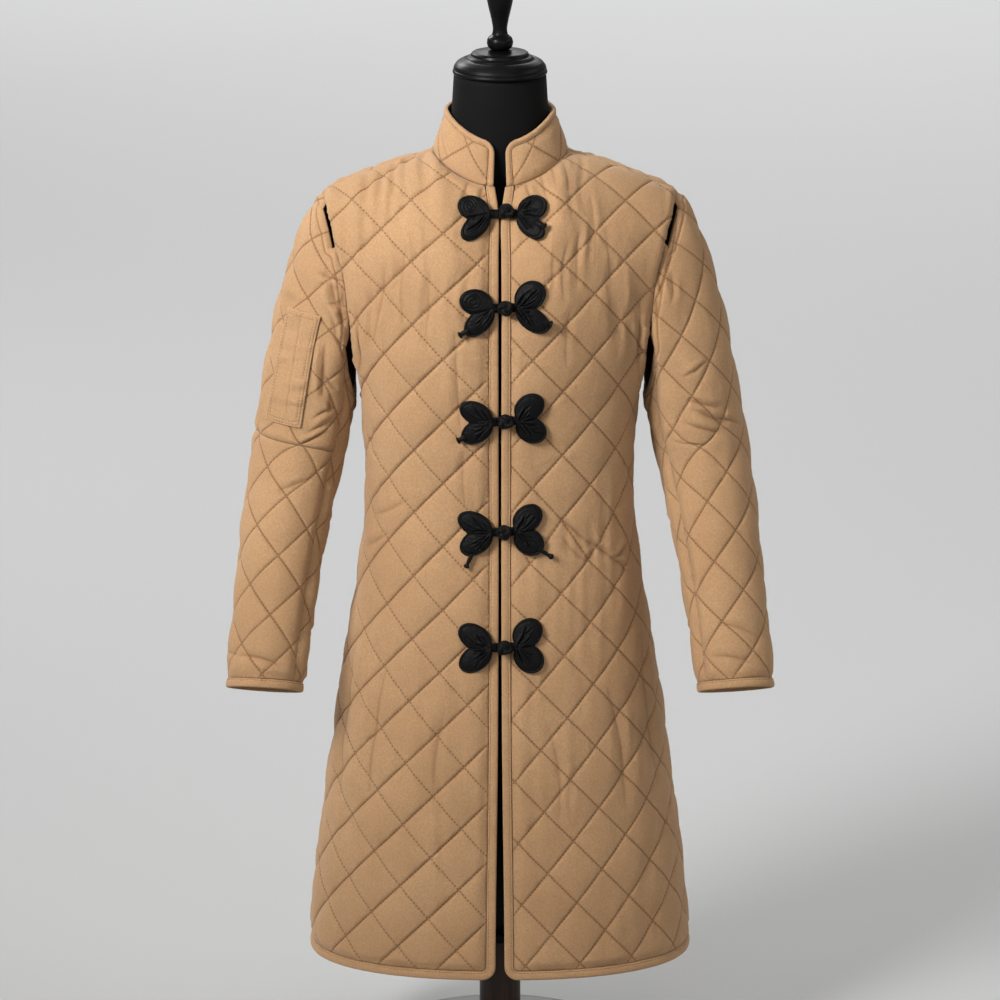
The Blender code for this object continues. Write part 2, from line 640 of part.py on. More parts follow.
# ---------------------------------------------------------------- seams shared by the pieces
SHOULDER_TURNS = np.linspace(NECK_TURN, TIP_TURN, 8)
NECK_TURNS = np.linspace(0.0, NECK_TURN, 6)
ARMHOLE_SHARES = {
    side: np.unique(np.concatenate([
        np.linspace(0, 1, 29),
        np.array([start - 0.007, start, end, end + 0.009, closed, FRONT_SEAM, BACK_SEAM])]))
    for side, (start, end, closed, _) in SLITS.items()}
SHOULDER_NORMAL = unit(np.array([0.35, 0.0, 0.94]))


def neck_normal(points):
    return unit(unit(points * [1, 1, 0]) + [0, 0, 0.6])


def top_edge(surface, turns, behind, mirrored=False):
    """Flat places and world points where the body's lines end."""
    lines = [body_line(turn, behind) for turn in turns]
    ups = np.array([line[0][-1] for line in lines])
    points = np.array([line[1][-1] for line in lines])
    if not behind:
        number = turns * HALF_LINES
    elif mirrored:
        number, points = HALF_LINES * (1 + turns), points * MIRROR
    else:
        number = HALF_LINES * (1 - turns)
    return np.stack([surface.across_at(number, ups), ups], axis=1), points


def body_armhole(surface, side, behind, mirrored=False):
    """The body's edge at the armhole, from the shoulder tip to the side seam."""
    shares = ARMHOLE_SHARES[side]
    shares = shares[shares >= 0.5][::-1] if behind else shares[shares <= 0.5]
    down = 2 * (1 - shares) if behind else 2 * shares
    flat, points = top_edge(surface, TIP_TURN + (1 - TIP_TURN) * down, behind, mirrored)
    normals = armhole_normals(shares, side)[0]
    return flat, points, normals * MIRROR if mirrored else normals


def armhole_normals(shares, side):
    """Outward normals of the body's and the sleeve's edge at the armhole, equal where they meet."""
    body = []
    for share in shares:
        behind = share > 0.5
        turn = TIP_TURN + (1 - TIP_TURN) * (2 * (1 - share) if behind else 2 * share)
        surface = back if behind else front
        flat, _ = top_edge(surface, np.array([turn]), behind)
        body.append(surface.place(*flat.T)[1][0])
    body = np.array(body)
    body[(shares < 1e-6) | (shares > 1 - 1e-6)] = SHOULDER_NORMAL
    tube = sleeve_tubes[side]
    ups = np.array([sleeve_line(share, side)[0][-1] for share in shares])
    number = np.clip((1 - shares) * SLEEVE_LINES, 0.01, SLEEVE_LINES - 0.01)
    sleeve = tube.place(tube.across_at(number, ups), ups)[1]
    apart = smooth_step(np.interp(shares, *np.array(ARMPIT).T) / 0.007)[:, None]
    shared = unit(body + sleeve) * (1 - apart)
    return unit(shared + body * apart), unit(shared + sleeve * apart)


# ---------------------------------------------------------------- body pieces
def front_path(surface):
    """The front's outer edge from neck to side seam, in flat places."""
    middle_line = body_line(0.0, False)
    openings = np.array(FRONT_OPENING)

    def opening(v):
        return smooth_curve(openings[:, 0], openings[:, 1], np.interp(v, middle_line[0], middle_line[1][:, 2]))

    foot, neck = middle_line[0][0], middle_line[0][-1] - 0.0035
    down = np.concatenate([[neck, neck - 0.010, neck - 0.022], spaced(neck - 0.042, foot + FRONT_CORNER, 0.034)])
    edge = np.stack([opening(down), down], axis=1)
    start = edge[-1, 0]
    bend = corner(np.array([start + FRONT_CORNER, foot + FRONT_CORNER]), FRONT_CORNER, math.pi, 1.5 * math.pi)[1:]
    return np.vstack([edge, bend, hem_path(surface, False, start + FRONT_CORNER)[1:]])


def hem_path(surface, behind, start=None):
    """The hem's outer edge in flat places, along the front or the whole back."""
    if behind:
        turns = np.concatenate([np.linspace(1, 0, 15), np.linspace(0, 1, 15)[1:]])
        number = np.concatenate([HALF_LINES * (1 - turns[:15]), HALF_LINES * (1 + turns[15:])])
    else:
        first = np.interp(start, surface.across_at(np.arange(HALF_LINES + 1), hem_up()), np.arange(HALF_LINES + 1))
        number = np.linspace(first, HALF_LINES, 15)
        turns = number / HALF_LINES
    ups = np.array([body_line(turn, behind)[0][0] for turn in turns])
    flat = np.stack([surface.across_at(number, ups), ups], axis=1)
    flat[-1, 0] -= SEAM / 2
    if behind:
        flat[0, 0] += SEAM / 2
    return flat


def hem_up():
    return np.full(HALF_LINES + 1, body_line(0.0, False)[0][0])


def seam_side(surface, number, up):
    """The way up the side seam from the hem, so that the hem's binding ends on it."""
    low, high = surface.across_at([number, number], [up, up + BAND])
    return [(high - low) / BAND, 1]


def side_seam():
    """Flat heights of the side seam's points, from the hem's binding to the armhole."""
    ups = body_line(1.0, False)[0]
    return spaced(ups[0] + BAND + SEAM / 2, ups[-1], 0.034)


def build_front(side, flip):
    surface = front
    path = front_path(surface)
    sides = path_sides(path, 1)
    sides[-1] = seam_side(surface, HALF_LINES, path[-1, 1])
    strip(f"binding_front_{side}", surface, path, sides, BINDING_CLOTH, flip=flip)
    inner = path + sides * (BAND + SEAM / 2)
    ups = side_seam()
    inner[-1] = [surface.across_at(HALF_LINES, ups[0])[0], ups[0]]
    ups = ups[1:-1]
    seam = np.stack([surface.across_at(np.full(len(ups), HALF_LINES), ups), ups], axis=1)
    arm, arm_points, arm_normals = body_armhole(surface, side, False)
    shoulder, shoulder_points = top_edge(surface, SHOULDER_TURNS, False)
    neck, neck_points = top_edge(surface, NECK_TURNS, False)
    top = np.interp(inner[0, 0], *neck.T)
    inner = np.vstack([[inner[0, 0] + (inner[0, 0] - inner[1, 0]) * (top - inner[0, 1]) / (inner[0, 1] - inner[1, 1]),
                        top], inner])
    keep = neck[:, 0] > inner[0, 0] + 0.004
    neck, neck_points = neck[keep], neck_points[keep]
    # The cut runs down the middle, along the hem, up the side, over the armhole to the neck.
    plain = np.vstack([inner, seam])
    flat = np.vstack([plain, arm[::-1], shoulder[::-1][1:], neck[::-1][1:]])
    points, normals = surface.place(*plain.T)
    normals[0] = neck_normal(points[:1])
    points = np.vstack([points, arm_points[::-1], shoulder_points[::-1][1:], neck_points[::-1][1:]])
    normals = np.vstack([normals, arm_normals[::-1],
                         np.tile(SHOULDER_NORMAL, (len(SHOULDER_TURNS) - 2, 1)),
                         neck_normal(neck_points[::-1])])
    quilt = Quilt(QUILTS[f"front_{side}"])
    cloth(f"front_{side}", surface, flat, points, normals, quilt, GAMBESON_CLOTH, flip=flip)


def build_back():
    surface = back
    path = hem_path(surface, True)
    sides = path_sides(path, 1)
    last = 2 * HALF_LINES
    sides[0], sides[-1] = seam_side(surface, 0, path[0, 1]), seam_side(surface, last, path[-1, 1])
    strip("binding_back_hem", surface, path, sides, BINDING_CLOTH)
    inner = path + sides * (BAND + SEAM / 2)
    ups = side_seam()
    inner[0] = [surface.across_at(0, ups[0])[0], ups[0]]
    inner[-1] = [surface.across_at(last, ups[0])[0], ups[0]]
    ups = ups[1:-1]
    right_seam = np.stack([surface.across_at(np.full(len(ups), last), ups), ups], axis=1)
    left_seam = np.stack([surface.across_at(np.zeros(len(ups)), ups), ups], axis=1)
    arms = {side: body_armhole(surface, side, True, side == "right") for side in ("left", "right")}
    shoulders = {side: top_edge(surface, SHOULDER_TURNS, True, side == "right") for side in ("left", "right")}
    necks = {side: top_edge(surface, NECK_TURNS, True, side == "right") for side in ("left", "right")}
    right_normal = SHOULDER_NORMAL * MIRROR
    plain = np.vstack([inner, right_seam])
    points, normals = surface.place(*plain.T)
    left_points, left_normals = surface.place(*left_seam[::-1].T)
    seam_count = (len(SHOULDER_TURNS) - 2, 1)
    flat = np.vstack([plain, arms["right"][0][::-1], shoulders["right"][0][::-1][1:], necks["right"][0][::-1][1:],
                      necks["left"][0][1:], shoulders["left"][0][1:], arms["left"][0][1:], left_seam[::-1]])
    world = np.vstack([points, arms["right"][1][::-1], shoulders["right"][1][::-1][1:],
                       necks["right"][1][::-1][1:], necks["left"][1][1:], shoulders["left"][1][1:],
                       arms["left"][1][1:], left_points])
    out = np.vstack([normals, arms["right"][2][::-1], np.tile(right_normal, seam_count),
                     neck_normal(necks["right"][1][::-1]), neck_normal(necks["left"][1][1:]),
                     np.tile(SHOULDER_NORMAL, seam_count), arms["left"][2], left_normals])
    cloth("back", surface, flat, world, out, Quilt(QUILTS["back"]), GAMBESON_CLOTH)


# ---------------------------------------------------------------- collar
def collar_line(angle):
    """One line of the collar from the neck seam to its top."""
    sine, cosine = math.sin(angle), math.cos(angle)
    behind = cosine < 0
    base = neckline(NECK_TURN * math.asin(min(abs(sine), 1.0)) / (math.pi / 2), behind)
    depth = COLLAR_TOP_BACK if behind else -COLLAR_TOP_FRONT
    height = COLLAR_BACK_HEIGHT if behind else COLLAR_FRONT_HEIGHT
    top = np.array([COLLAR_TOP_HALF_WIDTH * sine, -depth * cosine,
                    height + (COLLAR_SIDE_HEIGHT - height) * sine**2])
    base = base * [math.copysign(1, sine), 1, 1] + [0, 0, SEAM]
    t = np.linspace(0, 1, 8)[:, None]
    lean = np.array([0.0, 0.0, 1.0]) * np.linalg.norm(top - base)
    points = hermite(base, top, (top - base) * 0.8 + lean * 0.1, (top - base) * 0.8 + lean * 0.2, t)
    return lengths_along(points), points


COLLAR_LINES = 72


def build_collar():
    angles = np.linspace(0.001, 2 * math.pi - 0.001, COLLAR_LINES + 1)
    lines = [collar_line(angle) for angle in angles]
    surface = Surface(lines, COLLAR_LINES // 2, spacing=0.002)
    # Its lines are upright in the flat places, at their spacing a third of the way up.
    surface.across[:] = surface.across[np.searchsorted(surface.levels, 0.02)]
    numbers = np.arange(COLLAR_LINES + 1)
    tops = np.array([ups[-1] for ups, _ in lines])
    crosses = surface.across_at(numbers, tops)
    half = crosses[-1]

    def top_up(u):
        return np.interp(u, crosses, tops)

    end_across = half - COLLAR_OPENING
    rise = top_up(COLLAR_CORNER - end_across) - COLLAR_CORNER
    first = [np.array([-end_across, v]) for v in (COLLAR_FOOT, rise * 0.5, rise)]
    last = [np.array([end_across, v]) for v in (rise, rise * 0.5, COLLAR_FOOT)]
    start, end = first[-1], last[0]
    bend_in = corner(start + [COLLAR_CORNER, 0], COLLAR_CORNER, math.pi, 0.5 * math.pi)[1:]
    bend_out = corner(end - [COLLAR_CORNER, 0], COLLAR_CORNER, 0.5 * math.pi, 0.0)[:-1]
    tops_across = spaced(bend_in[-1, 0], bend_out[0, 0], 0.017)[1:-1]
    top = np.stack([tops_across, top_up(tops_across)], axis=1)
    path = np.vstack([first, bend_in, top, bend_out, last])
    sides = path_sides(path, -1)
    strip("binding_collar", surface, path, sides, BINDING_CLOTH, width=COLLAR_BAND)
    inner = path + sides * (COLLAR_BAND + SEAM / 2)
    quarter = NECK_TURNS / NECK_TURN * math.pi / 2
    seam_angles = np.unique(np.round(np.concatenate([quarter, math.pi - quarter, math.pi + quarter,
                                                     2 * math.pi - quarter]), 6))
    seam_numbers = np.interp(seam_angles, angles, numbers)
    base = np.stack([surface.across_at(seam_numbers, np.zeros(len(seam_numbers))),
                     np.zeros(len(seam_numbers))], axis=1)
    keep = (base[:, 0] > inner[0, 0] + 0.003) & (base[:, 0] < inner[-1, 0] - 0.003)
    base, seam_angles = base[keep], seam_angles[keep]
    inner = np.vstack([[inner[0, 0], 0.0], inner, [inner[-1, 0], 0.0]])
    flat = np.vstack([inner, base[::-1]])
    points, normals = surface.place(*flat.T)
    points[len(inner):] = [collar_line(angle)[1][0] for angle in seam_angles[::-1]]
    seam = np.r_[0, len(inner) - 1:len(flat)]
    normals[seam] = neck_normal(points[seam])
    quilt = Quilt(QUILTS["collar"], rise=0.6 * PUFF)
    cloth("collar", surface, flat, points, normals, quilt, GAMBESON_CLOTH, wall=COLLAR_WALL)


# ---------------------------------------------------------------- sleeves
def sleeve_surface(side, first, last):
    """Lines from share last down to share first, so that normals point out."""
    shares = sleeve_shares(first, last)[::-1]
    lines = [sleeve_line(share, side) for share in shares]
    anchor = int(np.argmin(np.abs(shares))) if first <= 0 <= last else 0
    return Surface(lines, anchor), shares


def pocket_press(points):
    """Flattens the wadding under the arm pocket."""
    off = np.maximum.reduce([POCKET_ACROSS[0] - points[:, 0], points[:, 0] - POCKET_ACROSS[1],
                             POCKET_UP[0] - points[:, 1], points[:, 1] - POCKET_UP[1]])
    return POCKET_PRESS + (1 - POCKET_PRESS) * smooth_step((off - 0.006) / 0.014)


def sleeve_piece(name, side, flip, first, last, press):
    surface, shares = sleeve_surface(side, first, last)
    numbers = np.arange(len(shares))
    low = -ARM_LENGTH + BAND + SEAM / 2

    def number_of(share):
        return np.interp(share, shares[::-1], numbers[::-1])

    cuff_numbers = np.linspace(0, len(shares) - 1, max(4, round((last - first) * 13)))
    cuff = np.stack([surface.across_at(cuff_numbers, np.full(len(cuff_numbers), low)),
                     np.full(len(cuff_numbers), low)], axis=1)
    heads = [share for share in np.concatenate([ARMHOLE_SHARES[side] - 1, ARMHOLE_SHARES[side]])
             if first - 1e-6 <= share <= last + 1e-6]
    heads = np.array(sorted(set(np.round(heads, 6)), reverse=True))
    ends = [sleeve_line(share, side) for share in heads]
    ups = np.array([line[0][-1] for line in ends])
    head = np.stack([surface.across_at(number_of(heads), ups), ups], axis=1)
    head_points = np.array([line[1][-1] for line in ends])
    head_normals = armhole_normals(heads % 1.0, side)[1]

    def seam(number, top):
        ups = spaced(low, top, 0.034)[1:-1]
        return np.stack([surface.across_at(np.full(len(ups), number), ups), ups], axis=1)

    front_side, back_side = seam(0, ups[0]), seam(len(shares) - 1, ups[-1])
    flat = np.vstack([cuff, back_side, head[::-1], front_side[::-1]])
    points, normals = surface.place(*flat.T)
    part = slice(len(cuff) + len(back_side), len(cuff) + len(back_side) + len(head))
    points[part], normals[part] = head_points[::-1], head_normals[::-1]
    quilt = Quilt(QUILTS[f"sleeve_{side}"], rise=0.9 * PUFF, press=press)
    cloth(name, surface, flat, points, normals, quilt, GAMBESON_CLOTH, flip=flip, fine_from=-9.0)
    return surface


def build_sleeve(side, flip):
    press = pocket_press if side == "right" else None
    upper = sleeve_piece(f"sleeve_upper_{side}", side, flip, BACK_SEAM - 1, FRONT_SEAM, press)
    sleeve_piece(f"sleeve_under_{side}", side, flip, FRONT_SEAM, BACK_SEAM, None)
    tube = sleeve_tubes[side]
    count = 24
    numbers = np.linspace(0, SLEEVE_LINES, count, endpoint=False)
    path = np.stack([tube.across_at(numbers, np.full(count, -ARM_LENGTH)), np.full(count, -ARM_LENGTH)], axis=1)
    strip(f"cuff_binding_{side}", tube, path, np.tile([0.0, 1.0], (count, 1)), BINDING_CLOTH, flip=flip, closed=True)
    if side == "right":
        build_pocket(upper, flip)


def build_pocket(surface, flip):
    across = np.linspace(*POCKET_ACROSS, 6)
    ups = np.linspace(*POCKET_UP, 12)
    rows = []
    low = WALL + 0.9 * PUFF * POCKET_PRESS + 5 * SEAM
    for up in ups:
        point, normal = surface.place(across, np.full(len(across), up))
        rows.append(np.vstack([point + normal * low, (point + normal * (low + POCKET_THICK))[::-1]])
                    * [flip, 1, 1])
    loft("arm_pocket", rows, BINDING_CLOTH)


# ---------------------------------------------------------------- frogs
def ellipse_reach(angle, along, length, width):
    """How far a ray from the root goes before it leaves a petal that starts there and points along."""
    a, b = length / 2, width / 2
    ray = np.maximum(np.cos(angle - along), 0.0) / a, np.sin(angle - along) / b
    return 2 * ray[0] / (ray[0]**2 + ray[1]**2)


def knot_place(number):
    """Flat height of a frog's knot and how far it is off the centre line."""
    _, height, off = FROGS[number - 1]
    middle = body_line(0.0, False)
    return np.interp(height, middle[1][:, 2], middle[0]), off


def build_petals(number, side, flip, root, lift, *petals):
    """One half of a frog: two petals and the stem that joins them to the knot."""
    up, off = knot_place(number)
    stem = root - flip * off - KNOT_RADIUS - 2 * SEAM
    slope = math.atan2(STEM_WIDTH / 2, stem)
    angles = np.sort(np.concatenate([np.linspace(-math.pi, math.pi, 24, endpoint=False),
                                     [math.pi - slope, slope - math.pi]]))
    with np.errstate(divide="ignore"):
        bar = np.minimum(stem / -np.cos(angles), STEM_WIDTH / 2 / np.abs(np.sin(angles)))
    reach = np.where(np.cos(angles) < -1e-6, bar, STEM_WIDTH / 2)
    for degrees, length, width in (petals[:3], petals[3:]):
        reach = np.maximum(reach, ellipse_reach(angles, math.radians(degrees), length, width))
    reach = np.where(np.abs(angles) > math.pi - slope - 1e-6, bar, reach)
    outline = np.stack([np.cos(angles), np.sin(angles)], axis=1) * reach[:, None]
    # share of the outline, rise
    rings = [(1.0, 0.0), (1.0, 0.5), (0.82, 0.95), (0.42, 0.8)]
    sections = []
    for share, rise in rings:
        point, normal = front.place(*([root, up + lift] + outline * share).T)
        sections.append((point + normal * (FROG_RISE + FROG_THICK * rise)) * [flip, 1, 1])
    point, normal = front.place([root], [up + lift])
    hubs = [(point[0] + normal[0] * (FROG_RISE + FROG_THICK * rise)) * [flip, 1, 1] for rise in (0.0, 0.75)]
    loft(f"frog_{number}_{side}", sections, FROG_CORD, hubs=hubs)


def build_knot(number):
    up, off = knot_place(number)
    point, normal = front.place([0.0], [up])
    middle = point[0] * [0, 1, 1] + normal[0] * [0, 1, 1] * (BAND_RISE + KNOT_RISE + KNOT_LIFT) + [off, 0, 0]
    ball = bmesh.new()
    bmesh.ops.create_uvsphere(ball, u_segments=10, v_segments=6, radius=1.0)
    points = [np.array(v.co) * [KNOT_RADIUS, KNOT_RISE, KNOT_RADIUS] + middle for v in ball.verts]
    faces = [[v.index for v in face.verts] for face in ball.faces]
    ball.free()
    solid(f"frog_{number}_knot", points, faces, FROG_CORD)


# ---------------------------------------------------------------- dress form and stand
def form_radius(height, angles):
    """Radius of the form in each direction: the cloth's inner face less a clearance, or the neck."""
    middle = np.array([0.0, 0.004])
    ring = []
    for behind in (False, True):
        edge = []
        for i in range(0, HALF_LINES + 1, 2):
            ups, points = form_lines[behind][i]
            if points[-1, 2] > height + FORM_DROP:
                edge.append([np.interp(height + FORM_DROP, points[:, 2], points[:, k]) for k in (0, 1)])
        ring.append(edge)
    outline = ring[0] + ring[1][::-1]
    if len(outline) > 4:
        outline = np.array(outline) - middle
        around = np.arctan2(outline[:, 0], -outline[:, 1])
        order = np.argsort(around)
        reach = np.interp(np.abs(angles), around[order], np.linalg.norm(outline, axis=1)[order],
                          left=0, right=0) - FORM_CLEAR
    else:
        reach = np.zeros(len(angles))
    neck = NECK_RADIUS * np.ones(len(angles))
    return np.maximum(reach, neck) if height > 1.0 else reach


def build_form():
    angles = np.linspace(-math.pi, math.pi, 34, endpoint=False)
    heights = [FORM_FOOT, 0.60, 0.66, 0.73, 0.785, 0.85, 0.92, 0.98, 1.03, 1.07, 1.10, 1.125, 1.145, 1.158,
               1.170, 1.182, 1.20, NECK_TOP]
    sections = []
    shrink = {FORM_FOOT: 0.80, 0.60: 0.93, 0.66: 0.99}
    for height in heights:
        radius = form_radius(height, angles) if height < 1.19 else np.full(len(angles), NECK_RADIUS)
        radius = radius * shrink.get(height, 1.0)
        sections.append(np.stack([radius * np.sin(angles), 0.004 - radius * np.cos(angles),
                                  np.full(len(angles), height)], axis=1))
    loft("form_torso", sections, FORM_JERSEY)


def build_stand():
    turned("base_plate", [(0, 0), (PLATE_RADIUS - 0.002, 0), (PLATE_RADIUS, 0.002), (PLATE_RADIUS, PLATE_THICK - 0.004),
                          (PLATE_RADIUS - 0.003, PLATE_THICK - 0.001), (PLATE_RADIUS - 0.008, PLATE_THICK),
                          (0, PLATE_THICK)], BASE_METAL, 48)
    low = PLATE_THICK + SEAM
    turned("post_column", [(0, low), (COLUMN_RADIUS, low), (COLUMN_RADIUS, COLUMN_TOP), (0, COLUMN_TOP)],
           COLUMN_WOOD)
    low = COLUMN_TOP + SEAM
    turned("post_collar", [(0, low), (POST_COLLAR_RADIUS - 0.001, low), (POST_COLLAR_RADIUS, low + 0.002),
                           (POST_COLLAR_RADIUS, POST_COLLAR_TOP - 0.002), (POST_COLLAR_RADIUS - 0.002, POST_COLLAR_TOP),
                           (0, POST_COLLAR_TOP)], FORM_GLOSS)
    low = POST_COLLAR_TOP + SEAM
    turned("post_tube", [(0, low), (TUBE_RADIUS, low), (TUBE_RADIUS, FORM_FOOT - SEAM), (0, FORM_FOOT - SEAM)],
           FORM_GLOSS, 24)
    low = NECK_TOP + SEAM
    turned("neck_cap", [(0, low), (0.0585, low), (0.0600, low + 0.003), (0.0600, low + 0.012),
                        (0.0570, low + 0.017), (0.0520, low + 0.0185), (0.0495, low + 0.0195), (0.0490, low + 0.024),
                        (0.0440, low + 0.027), (0.0250, low + 0.029), (0.0100, low + 0.030), (0, low + 0.030)],
           FORM_GLOSS)
    low = NECK_TOP + 0.030 + 2 * SEAM
    turned("finial", [(0, low), (0.0110, low), (0.0150, low + 0.003), (0.0168, low + 0.009), (0.0150, low + 0.0155),
                      (0.0105, low + 0.0195), (0.0092, low + 0.026), (0.0105, low + 0.036), (0.0150, low + 0.056),
                      (0.0188, low + 0.076), (0.0200, low + 0.092), (0.0180, low + 0.106), (0.0120, low + 0.114),
                      (0, low + 0.117)], FORM_GLOSS, 28)


# ---------------------------------------------------------------- the model
for thing in list(bpy.data.objects):
    bpy.data.objects.remove(thing)
collection = bpy.data.collections.new("gambeson_on_form")
bpy.context.scene.collection.children.link(collection)

GAMBESON_CLOTH = material("gambeson_cloth", (0.47, 0.27, 0.13), 0.9)
BINDING_CLOTH = material("binding_cloth", (0.45, 0.26, 0.125), 0.85)
FROG_CORD = material("frog_cord", (0.012, 0.011, 0.011), 0.8)
FORM_JERSEY = material("form_jersey", (0.013, 0.013, 0.014), 0.75)
FORM_GLOSS = material("form_gloss", (0.012, 0.012, 0.013), 0.25)
COLUMN_WOOD = material("column_wood", (0.035, 0.019, 0.011), 0.45)
BASE_METAL = material("base_metal", (0.18, 0.17, 0.16), 0.35, 0.6)

quarters = {behind: body_quarter(behind) for behind in (False, True)}
ARM_LENGTH = lengths_along(np.array(SLEEVE_RINGS)[:, :3])[-1]
front = front_surface()
back = back_surface()
form_lines = {behind: [body_line(i / HALF_LINES, behind) for i in range(HALF_LINES + 1)]
              for behind in (False, True)}
sleeve_tubes = {side: sleeve_surface(side, 0.0, 1.0)[0] for side in ("left", "right")}
for side, flip in (("left", 1), ("right", -1)):
    build_front(side, flip)
    build_sleeve(side, flip)
build_back()
build_collar()
for number, side, *petals in PETALS:
    build_petals(number, side, 1 if side == "left" else -1, *petals)
for number, _, _ in FROGS:
    build_knot(number)
build_form()
build_stand()
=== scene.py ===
"""Looks of the quilted gambeson on its dress form: fine cloth, stitching, frogs, form and stand.

The cloth's surfaces and cuts are the solid model's own, worked out again from the same named sizes.
"""
import math

import bmesh
import bpy
import numpy as np
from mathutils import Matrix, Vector
from mathutils.geometry import delaunay_2d_cdt
from mathutils.kdtree import KDTree


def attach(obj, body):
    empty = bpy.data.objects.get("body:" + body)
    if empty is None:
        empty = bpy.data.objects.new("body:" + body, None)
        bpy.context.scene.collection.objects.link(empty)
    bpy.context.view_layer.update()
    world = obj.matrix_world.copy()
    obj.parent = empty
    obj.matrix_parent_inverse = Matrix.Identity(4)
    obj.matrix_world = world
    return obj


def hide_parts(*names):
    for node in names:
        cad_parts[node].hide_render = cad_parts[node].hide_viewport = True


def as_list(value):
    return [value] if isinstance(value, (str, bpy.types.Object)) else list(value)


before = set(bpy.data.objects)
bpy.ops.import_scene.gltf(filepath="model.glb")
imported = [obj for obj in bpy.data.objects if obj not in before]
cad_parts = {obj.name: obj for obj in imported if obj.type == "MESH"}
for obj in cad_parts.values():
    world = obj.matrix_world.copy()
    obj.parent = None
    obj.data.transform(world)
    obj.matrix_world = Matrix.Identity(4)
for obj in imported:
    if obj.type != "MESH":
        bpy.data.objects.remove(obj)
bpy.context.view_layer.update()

SEAM = 0.0003              # clearance between neighbouring pieces
WALL = 0.003               # quilted cloth along a stitch line
RISE = 0.0046              # rise of a quilted pillow over its stitch lines
PUFF = 0.0055              # rise of the solid model's wadding, which the pocket lies on
BAND = 0.012               # width of the bound edges
BAND_RISE = 0.0044         # thickness of the bound edges

# Garment body, inner face
HEM = 0.145
CHEST = 0.883              # the rings end here and the lines run up to neck, shoulder and armhole
ROUNDNESS = 2.3            # exponent of the rings, 2 is an ellipse
# height, half width, depth in front, depth behind
BODY_RINGS = [
    (0.145, 0.2470, 0.158, 0.155),
    (0.256, 0.2370, 0.152, 0.150),
    (0.367, 0.2225, 0.145, 0.144),
    (0.477, 0.2080, 0.136, 0.138),
    (0.560, 0.1950, 0.128, 0.131),
    (0.641, 0.1820, 0.121, 0.122),
    (0.705, 0.1735, 0.115, 0.110),
    (0.785, 0.1675, 0.112, 0.102),
    (0.830, 0.1692, 0.114, 0.104),
    (0.883, 0.1735, 0.119, 0.110),
]
WAIST = 0.785
NECK_TURN, TIP_TURN = 0.25, 0.75     # share of the body's lines from the centre to neck and shoulder tip
# share of the lines, their place round the ring (0 centre, 1 side)
LINE_PLACES = [
    (0.00, 0.00), (0.25, 0.25), (0.50, 0.47), (0.75, 0.67), (0.83, 0.715),
    (0.89, 0.76), (0.94, 0.82), (0.975, 0.90), (1.00, 1.00),
]
NECK_HALF_WIDTH = 0.083
NECK_FRONT, NECK_FRONT_HEIGHT = -0.076, 1.181
NECK_BACK, NECK_BACK_HEIGHT = 0.079, 1.219
NECK_SIDE_HEIGHT = 1.211
SHOULDER_CROWN = 0.004               # rise of the shoulder seam above a straight line
# share of a full turn from the shoulder tip by the front, across, forward, height
ARMHOLE = [
    (0.000, 0.2255, 0.005, 1.1580),
    (0.045, 0.2205, -0.021, 1.1460),
    (0.125, 0.2070, -0.047, 1.1050),
    (0.200, 0.1990, -0.058, 1.0620),
    (0.285, 0.1925, -0.060, 1.0100),
    (0.335, 0.1870, -0.056, 0.9800),
    (0.400, 0.1800, -0.042, 0.9450),
    (0.460, 0.1755, -0.021, 0.9080),
    (0.500, 0.1752, 0.000, 0.8980),
    (0.545, 0.1770, 0.025, 0.9100),
    (0.620, 0.1860, 0.058, 0.9600),
    (0.720, 0.1965, 0.067, 1.0200),
    (0.810, 0.2070, 0.062, 1.0750),
    (0.900, 0.2170, 0.045, 1.1220),
    (0.960, 0.2230, 0.022, 1.1490),
    (1.000, 0.2255, 0.005, 1.1580),
]
# height, half the opening between the fronts
FRONT_OPENING = [
    (0.14, 0.0060), (0.20, 0.0056), (0.46, 0.0026), (0.62, 0.0018), (1.10, 0.0018),
    (1.15, 0.0016), (1.19, 0.0080),
]
FRONT_CORNER = 0.018                 # radius of the fronts' lower corners
# The quilting's crossings lie on columns and rows half a square apart.
# row, its height, place of the second column, half a square across
QUILTS = {
    "front_right": [
        (-18, -0.725, 0.100, 0.0390), (-10, -0.398, 0.086, 0.0380), (-4, -0.152, 0.073, 0.0385),
        (2, 0.099, 0.0715, 0.0390), (6, 0.268, 0.0715, 0.0425), (14, 0.580, 0.075, 0.0430),
    ],
    "front_left": [
        (-18, -0.705, 0.109, 0.0355), (-10, -0.376, 0.091, 0.0360), (-3, -0.090, 0.077, 0.0380),
        (-2, -0.034, 0.079, 0.0375), (4, 0.226, 0.082, 0.0400), (8, 0.383, 0.083, 0.0430),
        (14, 0.620, 0.086, 0.0440),
    ],
    "back": [
        (-18, -0.725, 0.0780, 0.0390), (-4, -0.152, 0.0780, 0.0390), (2, 0.099, 0.0780, 0.0390),
        (6, 0.268, 0.0840, 0.0420), (14, 0.580, 0.0850, 0.0425),
    ],
    "collar": [(-4, -0.161, 0.0780, 0.0390), (4, 0.163, 0.0780, 0.0390)],
    "sleeve_right": [
        (-14, -0.557, 0.030, 0.0325), (-8, -0.327, 0.030, 0.0325), (-2, -0.097, 0.015, 0.0325),
        (1, 0.040, 0.000, 0.0355), (4, 0.150, 0.009, 0.0355), (6, 0.224, 0.034, 0.0355),
        (12, 0.446, 0.060, 0.0370),
    ],
    "sleeve_left": [
        (-14, -0.565, 0.020, 0.0325), (-8, -0.335, 0.020, 0.0325), (-2, -0.103, 0.000, 0.0300),
        (6, 0.228, 0.002, 0.0300), (12, 0.474, 0.020, 0.0320),
    ],
}

